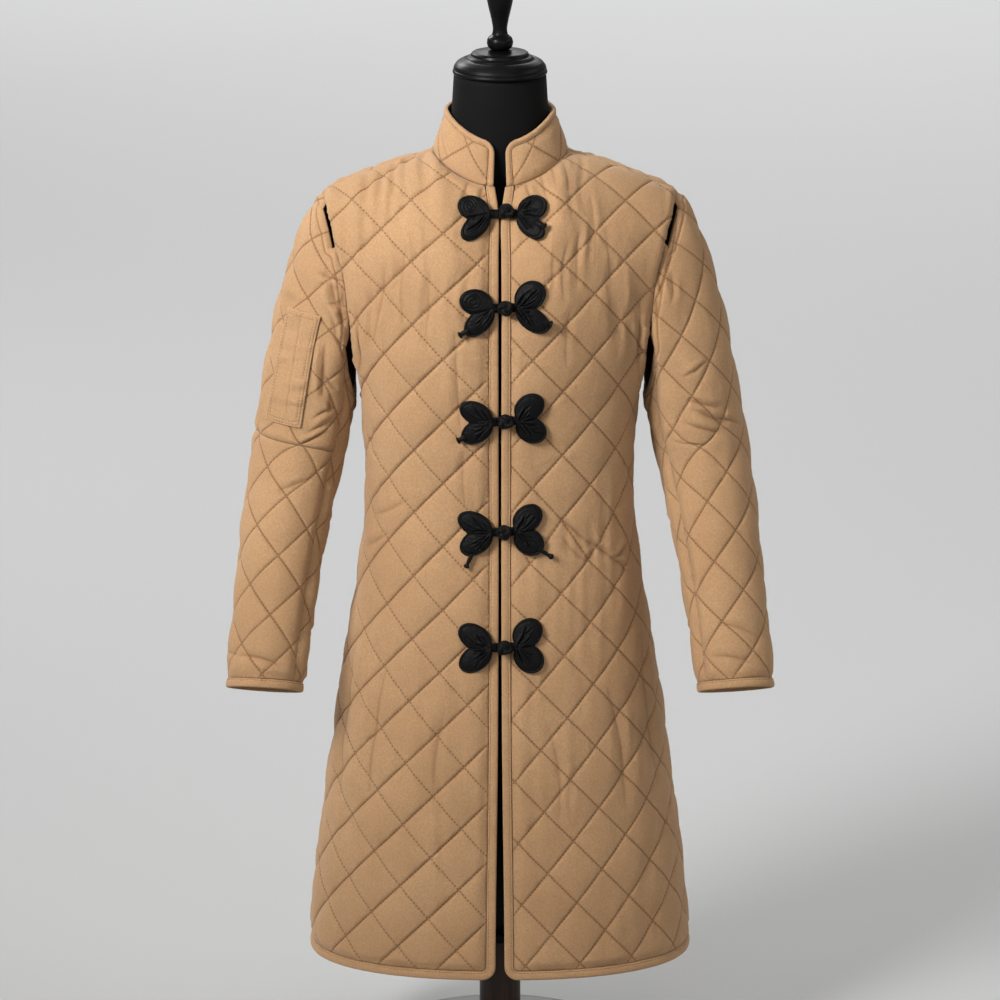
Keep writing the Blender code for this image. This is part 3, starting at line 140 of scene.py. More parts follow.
# Collar, inner face
COLLAR_TOP_HALF_WIDTH = 0.0665
COLLAR_TOP_FRONT, COLLAR_TOP_BACK = -0.062, 0.070
COLLAR_FRONT_HEIGHT, COLLAR_SIDE_HEIGHT, COLLAR_BACK_HEIGHT = 1.237, 1.268, 1.279
COLLAR_OPENING = 0.0075
COLLAR_CORNER = 0.016
COLLAR_BAND = 0.008
COLLAR_WALL = 0.0035
COLLAR_FOOT = 0.0008                # its binding starts this far above the seam

# Sleeves, inner face: middle across, middle forward, height, half width, half depth
SLEEVE_RINGS = [
    (0.2489, 0.004, 0.883, 0.0565, 0.060),
    (0.2590, 0.004, 0.830, 0.0560, 0.059),
    (0.2690, -0.010, 0.780, 0.0535, 0.056),
    (0.2776, -0.028, 0.731, 0.0520, 0.053),
    (0.2849, -0.046, 0.682, 0.0490, 0.050),
    (0.2944, -0.073, 0.609, 0.0465, 0.047),
    (0.3050, -0.104, 0.523, 0.0460, 0.046),
]
CUFF_TILT = 0.55                     # share of the arm's slope that its rings follow
FRONT_SEAM, BACK_SEAM = 0.39, 0.65   # the sleeve's two seams, as shares of a turn
# share of a turn, how far the sleeve stands off the body across
ARMPIT = [
    (0.00, 0.0), (0.29, 0.0), (0.325, 0.006), (0.36, 0.0155), (0.42, 0.0185), (0.50, 0.0155),
    (0.56, 0.0105), (0.62, 0.0075), (0.68, 0.0050), (0.73, 0.0020), (0.78, 0.0), (1.00, 0.0),
]
# share of a turn where the open slit starts and ends, where the seam closes, slit width
SLITS = {"right": (0.042, 0.128, 0.195, 0.0094), "left": (0.034, 0.122, 0.200, 0.0100)}
SLIT_TAIL = 0.0014                   # opening of the seam below the slit
SLIT_FLANK = 0.004                   # share of a turn in which a slit's end closes

# Frogs: number, height of the knot, how far it is off the centre line
FROGS = [(1, 1.151, 0.008), (2, 1.037, 0.007), (3, 0.890, 0.007), (4, 0.740, 0.005), (5, 0.589, 0.006)]
# frog, side, root's distance from the centre line, root's lift above the knot's middle,
# then angle in degrees, length and width of the upper petal and of the lower petal
PETALS = [
    (1, "right", 0.0141, -0.003, 20, 0.0445, 0.032, -39, 0.0465, 0.028),
    (1, "left", 0.0237, -0.003, 24, 0.0415, 0.032, -39, 0.0430, 0.028),
    (2, "right", 0.0096, -0.001, 20, 0.0443, 0.033, -44, 0.0470, 0.029),
    (2, "left", 0.0227, 0.000, 44, 0.0440, 0.034, -37, 0.0470, 0.029),
    (3, "right", 0.0109, -0.002, 30, 0.0443, 0.030, -37, 0.0445, 0.030),
    (3, "left", 0.0227, 0.000, 50, 0.0430, 0.034, -40, 0.0420, 0.034),
    (4, "right", 0.0110, -0.001, 27, 0.0460, 0.031, -36, 0.0465, 0.031),
    (4, "left", 0.0207, 0.000, 50, 0.0430, 0.034, -42, 0.0420, 0.034),
    (5, "right", 0.0122, -0.001, 34, 0.0465, 0.033, -38, 0.0475, 0.032),
    (5, "left", 0.0217, 0.000, 53, 0.0430, 0.036, -47, 0.0430, 0.035),
]
FROG_RISE, FROG_THICK = 0.0092, 0.0055
STEM_WIDTH = 0.010
KNOT_RADIUS, KNOT_RISE, KNOT_LIFT = 0.0120, 0.0090, 0.0012

# Arm pocket on the right sleeve, in the sleeve's flat places
POCKET_ACROSS = (-0.0865, -0.0375)
POCKET_UP = (-0.0195, 0.1305)
POCKET_PRESS = 0.25                  # share of the wadding's rise left under the pocket
POCKET_BASE = WALL + 0.9 * PUFF * POCKET_PRESS + 4 * SEAM      # the pocket's inner face over the sleeve's

# Dress form and stand
FORM_CLEAR = 0.012
FORM_DROP = 0.014          # the form's shoulders lie this far under the cloth
FORM_MIDDLE = 0.004        # how far behind the stand's axis the form's middle is
FORM_FOOT = 0.565
NECK_RADIUS, NECK_TOP = 0.060, 1.3140
PLATE_RADIUS, PLATE_THICK = 0.168, 0.012
COLUMN_RADIUS, COLUMN_TOP = 0.027, 0.150
POST_COLLAR_RADIUS, POST_COLLAR_TOP = 0.030, 0.163
TUBE_RADIUS = 0.019

MIRROR = np.array([-1.0, 1.0, 1.0])


# ---------------------------------------------------------------- curves and surfaces
def hermite(start, end, leave, arrive, t):
    """The cubic from start to end with the given end slopes."""
    return ((2 * t**3 - 3 * t**2 + 1) * start + (t**3 - 2 * t**2 + t) * leave
            + (3 * t**2 - 2 * t**3) * end + (t**3 - t**2) * arrive)


def smooth_curve(places, values, x):
    """A smooth curve through the values, read at x."""
    places, values = np.asarray(places, float), np.asarray(values, float)
    slopes = np.gradient(values, places, axis=0)
    x = np.atleast_1d(np.asarray(x, float))
    i = np.clip(np.searchsorted(places, x) - 1, 0, len(places) - 2)
    width = places[i + 1] - places[i]
    t = (x - places[i]) / width
    if values.ndim > 1:
        t, width = t[:, None], width[:, None]
    return hermite(values[i], values[i + 1], slopes[i] * width, slopes[i + 1] * width, t)


def smooth_step(x):
    """0 below 0, 1 above 1 and a smooth rise between."""
    x = np.clip(x, 0.0, 1.0)
    return x * x * (3 - 2 * x)


def read_table(table, x):
    """The second column of a table at places of its first."""
    return np.interp(x, *np.array(table).T)


def unit(vectors):
    return vectors / np.linalg.norm(vectors, axis=-1, keepdims=True)


def lengths_along(points):
    steps = np.linalg.norm(np.diff(points, axis=0), axis=1)
    return np.concatenate([[0.0], np.cumsum(steps)])


def lengthened(ups, points, below, above):
    """A line carried on straight past both ends."""
    first, last = unit(points[0] - points[1]), unit(points[-1] - points[-3])
    points = np.vstack([points[0] + first * below, points, points[-1] + last * above])
    return np.concatenate([[ups[0] - below], ups, [ups[-1] + above]]), points


def between(table, k, c, t, s):
    """A table read between its rows k and k + 1 (share t) and its columns c and c + 1 (share s)."""
    lower = table[k, c] * (1 - s) + table[k, c + 1] * s
    upper = table[k + 1, c] * (1 - s) + table[k + 1, c + 1] * s
    return lower * (1 - t) + upper * t


def paired(*values):
    """Numbers or lists as arrays of one common length."""
    return np.broadcast_arrays(*(np.atleast_1d(value).astype(float) for value in values))


class Surface:
    """A curved surface woven from lines that run up it, with flat cutting places."""

    def __init__(self, lines, anchor, spacing=0.004):
        """lines holds (ups, points) pairs; flat places run across from the anchor line."""
        lines = [lengthened(ups, points, 0.03, 0.45) for ups, points in lines]
        low = max(ups[0] for ups, _ in lines)
        high = min(ups[-1] for ups, _ in lines)
        self.levels = np.arange(low, high, spacing)
        self.grid = np.stack([np.stack([np.interp(self.levels, ups, points[:, k]) for k in range(3)], axis=1)
                              for ups, points in lines], axis=1)
        steps = np.linalg.norm(np.diff(self.grid, axis=1), axis=2)
        arcs = np.concatenate([np.zeros((len(self.levels), 1)), np.cumsum(steps, axis=1)], axis=1)
        self.across = arcs - arcs[:, anchor:anchor + 1]
        self.normals = unit(np.cross(np.gradient(self.grid, axis=1), np.gradient(self.grid, axis=0)))

    def rows(self, v):
        """The level below each flat height, and the share of the way to the next."""
        f = np.clip((v - self.levels[0]) / (self.levels[1] - self.levels[0]), 0, len(self.levels) - 1.001)
        k = f.astype(int)
        return k, f - k

    def place(self, u, v):
        """World points and outward normals at flat places."""
        u, v = paired(u, v)
        k, t = self.rows(v)
        row = self.across[k] * (1 - t)[:, None] + self.across[k + 1] * t[:, None]
        c = np.clip((row <= u[:, None]).sum(axis=1) - 1, 0, row.shape[1] - 2)
        q = np.arange(len(u))
        s = ((u - row[q, c]) / (row[q, c + 1] - row[q, c]))[:, None]
        points, normals = (between(table, k, c, t[:, None], s) for table in (self.grid, self.normals))
        return points, unit(normals)

    def lifted(self, flat, height, flip=1):
        """World points a height above flat places, and their normals; flip -1 mirrors them to the right."""
        points, normals = self.place(*flat.T)
        mirror = np.array([flip, 1.0, 1.0])
        return (points + normals * np.reshape(height, (-1, 1))) * mirror, normals * mirror

    def across_at(self, line, v):
        """The flat place across, on a line given by its (fractional) number."""
        line, v = paired(line, v)
        k, t = self.rows(v)
        c = np.clip(line.astype(int), 0, self.across.shape[1] - 2)
        return between(self.across, k, c, t, line - c)

    def flat_at(self, line, v):
        """Flat places on a line, or on one line for each."""
        across = self.across_at(line, v)
        return np.stack([across, np.broadcast_to(v, across.shape)], axis=1)


# ---------------------------------------------------------------- the body's lines
def ring_point(height, turn, behind):
    """Points of the body's ring, turn 0 at the centre and 1 at the side."""
    rings = np.array(BODY_RINGS)
    half, front, back = smooth_curve(rings[:, 0], rings[:, 1:], height).T
    angle = read_table(LINE_PLACES, turn) * math.pi / 2
    x = half * math.sin(angle) ** (2 / ROUNDNESS)
    y = max(math.cos(angle), 0.0) ** (2 / ROUNDNESS) * (back if behind else -front)
    return np.stack([x, y, np.broadcast_to(height, x.shape)], axis=1)


def neckline(turn, behind):
    """The neck seam, turn 0 at the centre and NECK_TURN at the side of the neck."""
    angle = turn / NECK_TURN * math.pi / 2
    depth, height = (NECK_BACK, NECK_BACK_HEIGHT) if behind else (NECK_FRONT, NECK_FRONT_HEIGHT)
    return np.array([NECK_HALF_WIDTH * math.sin(angle), depth * math.cos(angle),
                     height + (NECK_SIDE_HEIGHT - height) * math.sin(angle) ** 2])


def armhole(share):
    """Points of the armhole, at shares of a full turn."""
    rows = np.array(ARMHOLE)
    return smooth_curve(rows[:, 0], rows[:, 1:], share)


def line_top(turn, behind):
    """Where a body line ends, and the direction and fullness with which it arrives there."""
    sign = -1 if behind else 1
    over = np.array([0.0, sign * 1.0, 0.10])
    if turn <= NECK_TURN:
        rise = np.array([0.0, sign * 0.55, 0.85])
        t = smooth_step(turn / NECK_TURN)
        return neckline(turn, behind), unit(rise + (over - rise) * t), 0.9 + 0.4 * t
    tip = armhole(0.0)[0]
    if turn <= TIP_TURN:
        t = (turn - NECK_TURN) / (TIP_TURN - NECK_TURN)
        point = neckline(NECK_TURN, behind) * (1 - t) + tip * t
        return point + np.array([0, 0, 4 * SHOULDER_CROWN * t * (1 - t)]), unit(over), 1.3 - 0.4 * t
    t = (turn - TIP_TURN) / (1 - TIP_TURN)
    share = 1 - t / 2 if behind else t / 2
    upright = np.array([(0.34 if behind else 0.22) * (1 - t), sign * 0.40 * (1 - t), 1.0])
    return armhole(share)[0], unit(over + (upright - over) * smooth_step(t * 3)), 0.9


HALF_LINES = 48            # spaces between the lines in each quarter of the body
EVENINGS = 20              # passes that even out the body's lines above the chest
LOWER_POINTS, UPPER_POINTS = 45, 40  # points of a body line below and above the chest


def body_quarter(behind):
    """The lines of one quarter from hem to top, evened out from line to line above the chest."""
    heights = np.linspace(HEM, CHEST, LOWER_POINTS)
    t = np.linspace(0, 1, UPPER_POINTS)[1:]
    lines = []
    for turn in np.linspace(0, 1, HALF_LINES + 1):
        lower = ring_point(heights, turn, behind)
        leave = unit(lower[-1] - lower[-2])
        end, arrive, fullness = line_top(turn, behind)
        reach = np.linalg.norm(end - lower[-1])
        upper = hermite(lower[-1], end, leave * reach * 1.1, arrive * reach * fullness, t[:, None])
        lines.append(np.vstack([lower, upper]))
    grid = np.array(lines)
    up = np.concatenate([np.zeros(len(heights)), (4 * t * (1 - t)) ** 2])
    across = 1 - smooth_step((np.linspace(0, 1, HALF_LINES) - TIP_TURN) / 0.12)
    weight = across[:, None, None] * up[:, None]
    for _ in range(EVENINGS):
        wide = np.concatenate([grid[1:2] * MIRROR, grid])
        around = (wide[:-2] + 2 * wide[1:-1] + wide[2:]) / 4
        grid[:-1] += (around - grid[:-1]) * weight
    return grid


def body_line(turn, behind):
    """One line of the body from hem to top: flat heights (0 at the waist) and points."""
    quarter = quarters[behind]
    turn = min(max(turn, 0.0), 1.0)
    i = min(int(turn * HALF_LINES), HALF_LINES - 1)
    t = turn * HALF_LINES - i
    points = quarter[i] * (1 - t) + quarter[i + 1] * t
    points[-1] = line_top(turn, behind)[0]
    ups = lengths_along(points)
    return ups - np.interp(WAIST, points[:LOWER_POINTS, 2], ups[:LOWER_POINTS]), points


def front_surface():
    """The wearer's left front. Flat places run across from the centre of the front."""
    lines = [body_line(i / HALF_LINES, False) for i in range(HALF_LINES + 1)]
    surface = Surface(lines, round(NECK_TURN * HALF_LINES))
    neck = lines[0][0][-1]
    centre = np.interp(np.minimum(surface.levels, neck), surface.levels, surface.across[:, 0])
    surface.across -= centre[:, None]
    return surface


def back_surface():
    """The whole back. Flat places run across from the centre, from the left side to the right."""
    half = [body_line(i / HALF_LINES, True) for i in range(HALF_LINES + 1)]
    lines = half[::-1] + [(ups, points * MIRROR) for ups, points in half[1:]]
    return Surface(lines, HALF_LINES)


# ---------------------------------------------------------------- the sleeves' lines
def sleeve_ring(station, share):
    """A point of the sleeve's tube. station 0 is the first ring and 1 the cuff's end."""
    rows = np.array(SLEEVE_RINGS)
    along = lengths_along(rows[:, :3])
    along /= along[-1]
    middle, before, after = (smooth_curve(along, rows[:, :3], station + step) for step in (0, -0.01, 0.01))
    half, deep = smooth_curve(along, rows[:, 3:], station).T
    tilted = unit(unit(after - before) * np.array([CUFF_TILT, 1.0, 1.0]))
    outward = unit(np.cross(np.array([0.0, 1.0, 0.0]), tilted))
    forward = unit(np.cross(tilted, outward))
    angle = share * 2 * math.pi
    outward *= np.where(outward[:, :1] < 0, -1, 1)
    forward *= np.where(forward[:, 1:2] > 0, -1, 1)
    return middle + outward * (half * math.cos(angle))[:, None] + forward * (deep * math.sin(angle))[:, None]


def slit_gap(share, side):
    """How wide the armhole seam gapes down the sleeve."""
    start, end, closed, width = SLITS[side]
    share = np.atleast_1d(share)
    even = 0.80 + 0.4 * np.clip((share - start) / (end - start), 0, 1)
    ends = np.minimum(share - start + SLIT_FLANK, end + SLIT_FLANK - share)
    slit = width * even * np.clip(ends / SLIT_FLANK, 0, 1)
    tail = SLIT_TAIL * np.clip((closed - share) / 0.02, 0, 1) * (share >= end)
    return np.maximum(slit, tail)


def sleeve_head(share, side):
    """The sleeve's edge at the armhole, and the direction in which its lines arrive."""
    share = share % 1.0
    tip = np.array([-0.62, 0.0, 0.78])
    middle = np.array([-0.50, 0.10 if share < 0.5 else -0.10, 0.86])
    bottom = np.array([-0.12, 0.0, 1.0])
    turn = 2 * min(share, 1 - share)
    arrive = tip + (middle - tip) * smooth_step(turn * 2) + (bottom - middle) * smooth_step(turn * 2 - 1)
    arrive = unit(arrive)
    off = read_table(ARMPIT, share)
    point = armhole(share)[0] + np.array([off, 0, 0]) - arrive * slit_gap(share, side)[0]
    return point, arrive


def sleeve_line(share, side):
    """One line of the sleeve from cuff to armhole: flat heights (0 at the first ring) and points."""
    stations = np.linspace(1, 0, 60)
    lower = sleeve_ring(stations, share)
    end, arrive = sleeve_head(share, side)
    leave = unit(lower[-1] - lower[-2])
    reach = np.linalg.norm(end - lower[-1])
    t = np.linspace(0, 1, 40)[1:, None]
    upper = hermite(lower[-1], end, leave * reach * 0.95, arrive * reach * 0.8, t)
    above = lengths_along(np.vstack([lower[-1:], upper]))[1:]
    return np.concatenate([-ARM_LENGTH * stations, above]), np.vstack([lower, upper])


SLEEVE_LINES = 60          # lines in a full turn of the sleeve
ARM_LENGTH = lengths_along(np.array(SLEEVE_RINGS)[:, :3])[-1]


def sleeve_shares(first, last):
    """The lines of a piece of the sleeve, as shares of a turn."""
    count = max(8, round((last - first) * SLEEVE_LINES))
    return np.linspace(first, last, count + 1)


# ---------------------------------------------------------------- meshes
SQUARE_SIDE = 0.056                  # a quilted square's side, about
STITCHES_A_SIDE = 11
# places of the mesh's lines between two stitch lines, as shares of a square's side
SHARES = np.array([0.0, 0.014, 0.034, 0.065, 0.11, 0.17, 0.24, 0.32, 0.41])
SHARES = np.concatenate([SHARES, [0.5], 1 - SHARES[:0:-1]])
FINE = 0.0035                        # spacing of points along a cut edge


def mesh_object(name, points, faces, finishes, slots=None):
    """A new object; slots numbers the finish of each face."""
    mesh = bpy.data.meshes.new(name)
    mesh.from_pydata(np.asarray(points, float).tolist(), [], [tuple(map(int, f)) for f in faces])
    for finish in finishes:
        mesh.materials.append(finish)
    if slots is not None:
        mesh.polygons.foreach_set("material_index", slots)
    mesh.shade_smooth()
    thing = bpy.data.objects.new(name, mesh)
    bpy.context.scene.collection.objects.link(thing)
    return thing


def uv_layer(thing, name, places):
    """A map that gives each vertex its flat place."""
    mesh = thing.data
    corners = np.empty(len(mesh.loops), dtype=int)
    mesh.loops.foreach_get("vertex_index", corners)
    layer = mesh.uv_layers.new(name=name)
    layer.data.foreach_set("uv", np.asarray(places, float)[corners].ravel())


def fix_normals(thing):
    """Turns all faces outward."""
    shaped = bmesh.new()
    shaped.from_mesh(thing.data)
    bmesh.ops.recalc_face_normals(shaped, faces=shaped.faces)
    shaped.to_mesh(thing.data)
    shaped.free()


def lofted(name, sections, finish, closed=False, replaces=None):
    """A solid through sections of equal point counts, its ends capped by fans."""
    sections = [np.asarray(section) for section in sections]
    count, spans = len(sections[0]), len(sections) if closed else len(sections) - 1
    points = np.concatenate(sections)
    here = np.arange(count)
    after = (here + 1) % count
    faces = []
    for s in range(spans):
        a, b = s * count, (s + 1) % len(sections) * count
        faces += np.stack([a + here, a + after, b + after, b + here], axis=1).tolist()
    if not closed:
        last = len(points) - count
        points = np.vstack([points, sections[0].mean(axis=0), sections[-1].mean(axis=0)])
        low = len(points) - 2
        for k in range(count):
            m = (k + 1) % count
            faces += [(low, m, k), (low + 1, last + k, last + m)]
    thing = mesh_object(name, points, faces, [finish])
    fix_normals(thing)
    finished(thing, replaces)
    return thing


def finished(thing, replaces):
    """Hangs a piece on the root body and hides the solid model's node that it stands for."""
    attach(thing, "root")
    if replaces:
        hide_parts(replaces)


def triangulated(outline, inside):
    """Triangles over an outline and the points inside it, by number."""
    points = [Vector(p) for p in np.vstack([outline, inside])]
    found, _, faces, origins, _, _ = delaunay_2d_cdt(points, [], [list(range(len(outline)))], 1, 1e-7)
    if len(found) != len(points):
        raise ValueError("a cut edge crosses itself")
    number = np.array([origin[0] for origin in origins])
    return number[np.array(faces)]


def signed_area(outline):
    """Area inside a flat outline, less than 0 where it runs clockwise."""
    x, y = outline.T
    return (x * np.roll(y, -1) - np.roll(x, -1) * y).sum() / 2


def inward(outline):
    """The mitred inward direction at each corner of a flat outline."""
    before, after = outline - np.roll(outline, 1, axis=0), np.roll(outline, -1, axis=0) - outline
    turn = 1 if signed_area(outline) > 0 else -1
    sides = [unit(np.stack([-step[:, 1], step[:, 0]], axis=1)) * turn for step in (before, after)]
    return (sides[0] + sides[1]) / (1 + (sides[0] * sides[1]).sum(axis=1, keepdims=True))


# ---------------------------------------------------------------- fine cloth
TABLE = 64                 # side of the tables of random numbers


def noise(u, v, seed):
    """Smooth noise from -1 to 1, one unit from swell to swell."""
    table = np.random.default_rng(seed).uniform(-1, 1, (TABLE, TABLE))
    i, j = np.floor(u).astype(int), np.floor(v).astype(int)
    s, t = smooth_step(u - i), smooth_step(v - j)
    low = table[i % TABLE, j % TABLE] * (1 - s) + table[(i + 1) % TABLE, j % TABLE] * s
    high = table[i % TABLE, (j + 1) % TABLE] * (1 - s) + table[(i + 1) % TABLE, (j + 1) % TABLE] * s
    return low * (1 - t) + high * t


def closest(points, targets):
    """The number of the target nearest to each flat point, and its distance."""
    tree = KDTree(len(targets))
    for k, (x, y) in enumerate(targets):
        tree.insert((x, y, 0.0), k)
    tree.balance()
    found = [tree.find((x, y, 0.0)) for x, y in points]
    return np.array([k for _, k, _ in found]), np.array([d for _, _, d in found])


EDGE_STEP = 0.0006         # spacing of the places on an outline from which distances are taken


def edge_distance(points, outline):
    """Distance of each flat point from the outline, less than 0 outside it."""
    way_in = inward(outline)
    along = np.roll(outline, -1, axis=0) - outline
    places, ways = [], []
    for start, step, way, after in zip(outline, along, way_in, np.roll(way_in, -1, axis=0)):
        count = max(1, int(np.linalg.norm(step) / EDGE_STEP))
        side = np.array([-step[1], step[0]])
        side *= np.sign(side @ (way + after))
        for k in range(count):
            places.append(start + step * k / count)
            ways.append(way if k == 0 else side)
    nearest, near = closest(points, places)
    inside = ((points - np.array(places)[nearest]) * np.array(ways)[nearest]).sum(axis=1) > 0
    return np.where(inside, near, -near)


PILLOW_FALL = 2.3          # how steeply a pillow falls to its stitch lines
DIP = 0.0020               # half width of the narrow dip along a stitch line
PILLOW_SHARE, DIP_SHARE = 0.78, 0.24
FULLNESS = (0.78, 1.12)    # least and most filling of a square
REACH = 26                 # stitch lines on either side of a lattice's origin


class Quilt:
    """The lattice of quilted squares on one piece, in flat places."""

    def __init__(self, table, rise, seed, depths=(0.85, 1.0)):
        """depths says how far the cloth is drawn down at the lines of the first and the second family."""
        self.table = np.array(table)
        self.rise = rise
        self.seed = seed
        self.depths = depths

    def flat(self, first, second):
        """Flat places; first and second are whole on the stitch lines of the two families."""
        column, row = first + second, first - second
        up, anchor, half = (np.interp(row, self.table[:, 0], self.table[:, k]) for k in (1, 2, 3))
        return np.stack([anchor + (column - 2) * half, up], axis=-1)

    def squares(self, u, v):
        """The two families' numbers at flat places."""
        row, anchor, half = (np.interp(v, self.table[:, 1], self.table[:, k]) for k in (0, 2, 3))
        column = 2 + (u - anchor) / half
        return (column + row) / 2, (column - row) / 2

    def puff(self, u, v):
        """Rise of the wadding: full pillows that dip sharply to each stitch line."""
        first, second = self.squares(u, v)
        arch, narrow = np.ones(len(u)), np.ones(len(u))
        for place, deep in zip((first, second), self.depths):
            off = np.abs(place - np.round(place))
            arch = arch * (1 - deep * (1 - 2 * off) ** PILLOW_FALL)
            narrow = narrow * (1 - deep * np.exp(-(off * SQUARE_SIDE / DIP) ** 2))
        full = np.random.default_rng(self.seed).uniform(*FULLNESS, (TABLE, TABLE))
        amount = full[np.floor(first).astype(int) % TABLE, np.floor(second).astype(int) % TABLE]
        return self.rise * (PILLOW_SHARE * arch**0.75 * amount + DIP_SHARE * narrow)


def grid_places(quilt, outline):
    """Lattice points of one piece that close up towards the stitch lines."""
    line = (np.arange(-REACH, REACH)[:, None] + SHARES).ravel()
    low, high = outline.min(axis=0), outline.max(axis=0)
    places = quilt.flat(*np.meshgrid(line, line)).reshape(-1, 2)
    return places[((places > low) & (places < high)).all(axis=1)]


def hex_places(outline, step):
    """Points a step apart over a piece, every other row set off by half a step."""
    low, high = outline.min(axis=0), outline.max(axis=0)
    places = []
    for k, row in enumerate(np.arange(low[1], high[1], step * 0.866)):
        across = np.arange(low[0] + (k % 2) * step / 2, high[0], step)
        places.append(np.stack([across, np.full(len(across), row)], axis=1))
    return np.vstack(places)


CREASE_BOW, CREASE_END = 0.06, 0.004         # bend as a share of the length, length of the fading ends


def crease_bow(row, t):
    """How far a crease bends off its straight line, a share t of the way along it."""
    u0, v0, u1, v1 = row[:4]
    bow = CREASE_BOW * np.linalg.norm([u1 - u0, v1 - v0])
    return bow * np.sin(math.pi * t) * math.cos(900 * (u0 + v1))


def crease_offsets(u, v, row):
    """Signed distance from a crease and the share of its strength left towards its ends."""
    u0, v0, u1, v1 = row[:4]
    span = np.array([u1 - u0, v1 - v0])
    long = np.linalg.norm(span)
    t = ((u - u0) * span[0] + (v - v0) * span[1]) / (span @ span)
    held = np.clip(t, 0, 1)
    side = ((v - v0) * span[0] - (u - u0) * span[1]) / long - crease_bow(row, held)
    past = np.abs(t - held) * long
    ends = np.sqrt(np.clip(np.sin(math.pi * (0.04 + 0.92 * held)), 0, 1)) * np.exp(-(past / CREASE_END)**2)
    return side, ends


DARK_DEPTH, DARK_WIDTH = 0.0022, 0.0019      # a crease this deep gets full painted shade in its bottom, over this half width
RIDGE = 0.60                         # height of the ridge beside a crease, as a share of its depth


def folds(u, v, table):
    """Listed creases: a sharp trough with a soft ridge beside it (reversed where depth is negative)."""
    shift = np.zeros(len(u))
    for row in table:
        depth, width = row[4:]
        off, ends = crease_offsets(u, v, row)
        trough = 0.55 * np.exp(-(off / (0.36 * width))**2) + 0.45 * np.exp(-(off / width)**2)
        shift -= depth * ends * (trough - RIDGE * np.exp(-((off - 1.6 * width) / (0.8 * width))**2))
    return shift


def crease_painted_shades(u, v, table):
    """Painted shade in the bottom of each crease, up to 1 at DARK_DEPTH."""
    shade = np.zeros(len(u))
    for row in table:
        off, ends = crease_offsets(u, v, row)
        shade = np.maximum(shade, ends * np.clip(row[4] / DARK_DEPTH, 0, 1) * np.exp(-(off / DARK_WIDTH)**2))
    return shade


def crease_places(table, step):
    """Extra mesh points along the creases."""
    places = [np.zeros((0, 2))]
    for row in table:
        u0, v0, u1, v1, _, width = row
        start, span = np.array([u0, v0]), np.array([u1 - u0, v1 - v0])
        long = np.linalg.norm(span)
        side = np.array([-span[1], span[0]]) / long
        t = np.linspace(0, 1, max(3, int(long / step)))
        bow = crease_bow(row, t)
        near = (-0.0028, -0.0015, -0.0006, 0.0004, 0.0013, 0.0026)
        for off in (-1.3 * width, *near, 1.2 * width, 2.0 * width):
            places.append(start + t[:, None] * span + (off + bow)[:, None] * side)
    return np.vstack(places)


def above_seam(u, v, seam):
    """Height of flat places above a seam that runs across, 1 beyond its ends."""
    us, vs = np.array(seam)[::-1].T
    return np.where((u > us.min()) & (u < us.max()), v - np.interp(u, us, vs), 1.0)


EDGE_START, EDGE_WIDTH = 0.0005, 0.011       # the cloth swells up over this distance from its cut edge
# depth of the swells, their size across and up, what is added to the panel's seed
SWELLS = [(0.0009, 0.05, 0.09, 0), (0.00025, 0.007, 0.009, 3)]
RIPPLE_DEPTH, RIPPLE_ACROSS, RIPPLE_UP = 0.0013, 0.0085, 0.065
FOLD_STRENGTH = 1.35
LOWEST = -0.0012                     # how far a fold may cut into the cloth
SEAM_DIP = 0.0055                    # half width of the dip along a seam across the sleeve
RIM_SHARE = 0.75                     # thickness of the cut edge, as a share of the cloth's
CLOSEST = 0.0002                     # outline points nearer than this to the one before are left out
COARSE = 0.011                       # spacing of the points on the inner face
FINE_MARGIN, COARSE_MARGIN, STITCH_MARGIN = 0.0011, 0.005, 0.0035    # least distances from the cut edge
STITCH_HALF = 0.30                   # half a stitch's thread, as a share of the way to the next
BARELY_PRESSED = 0.9                 # stitches show where at least this share of the wadding's rise is left


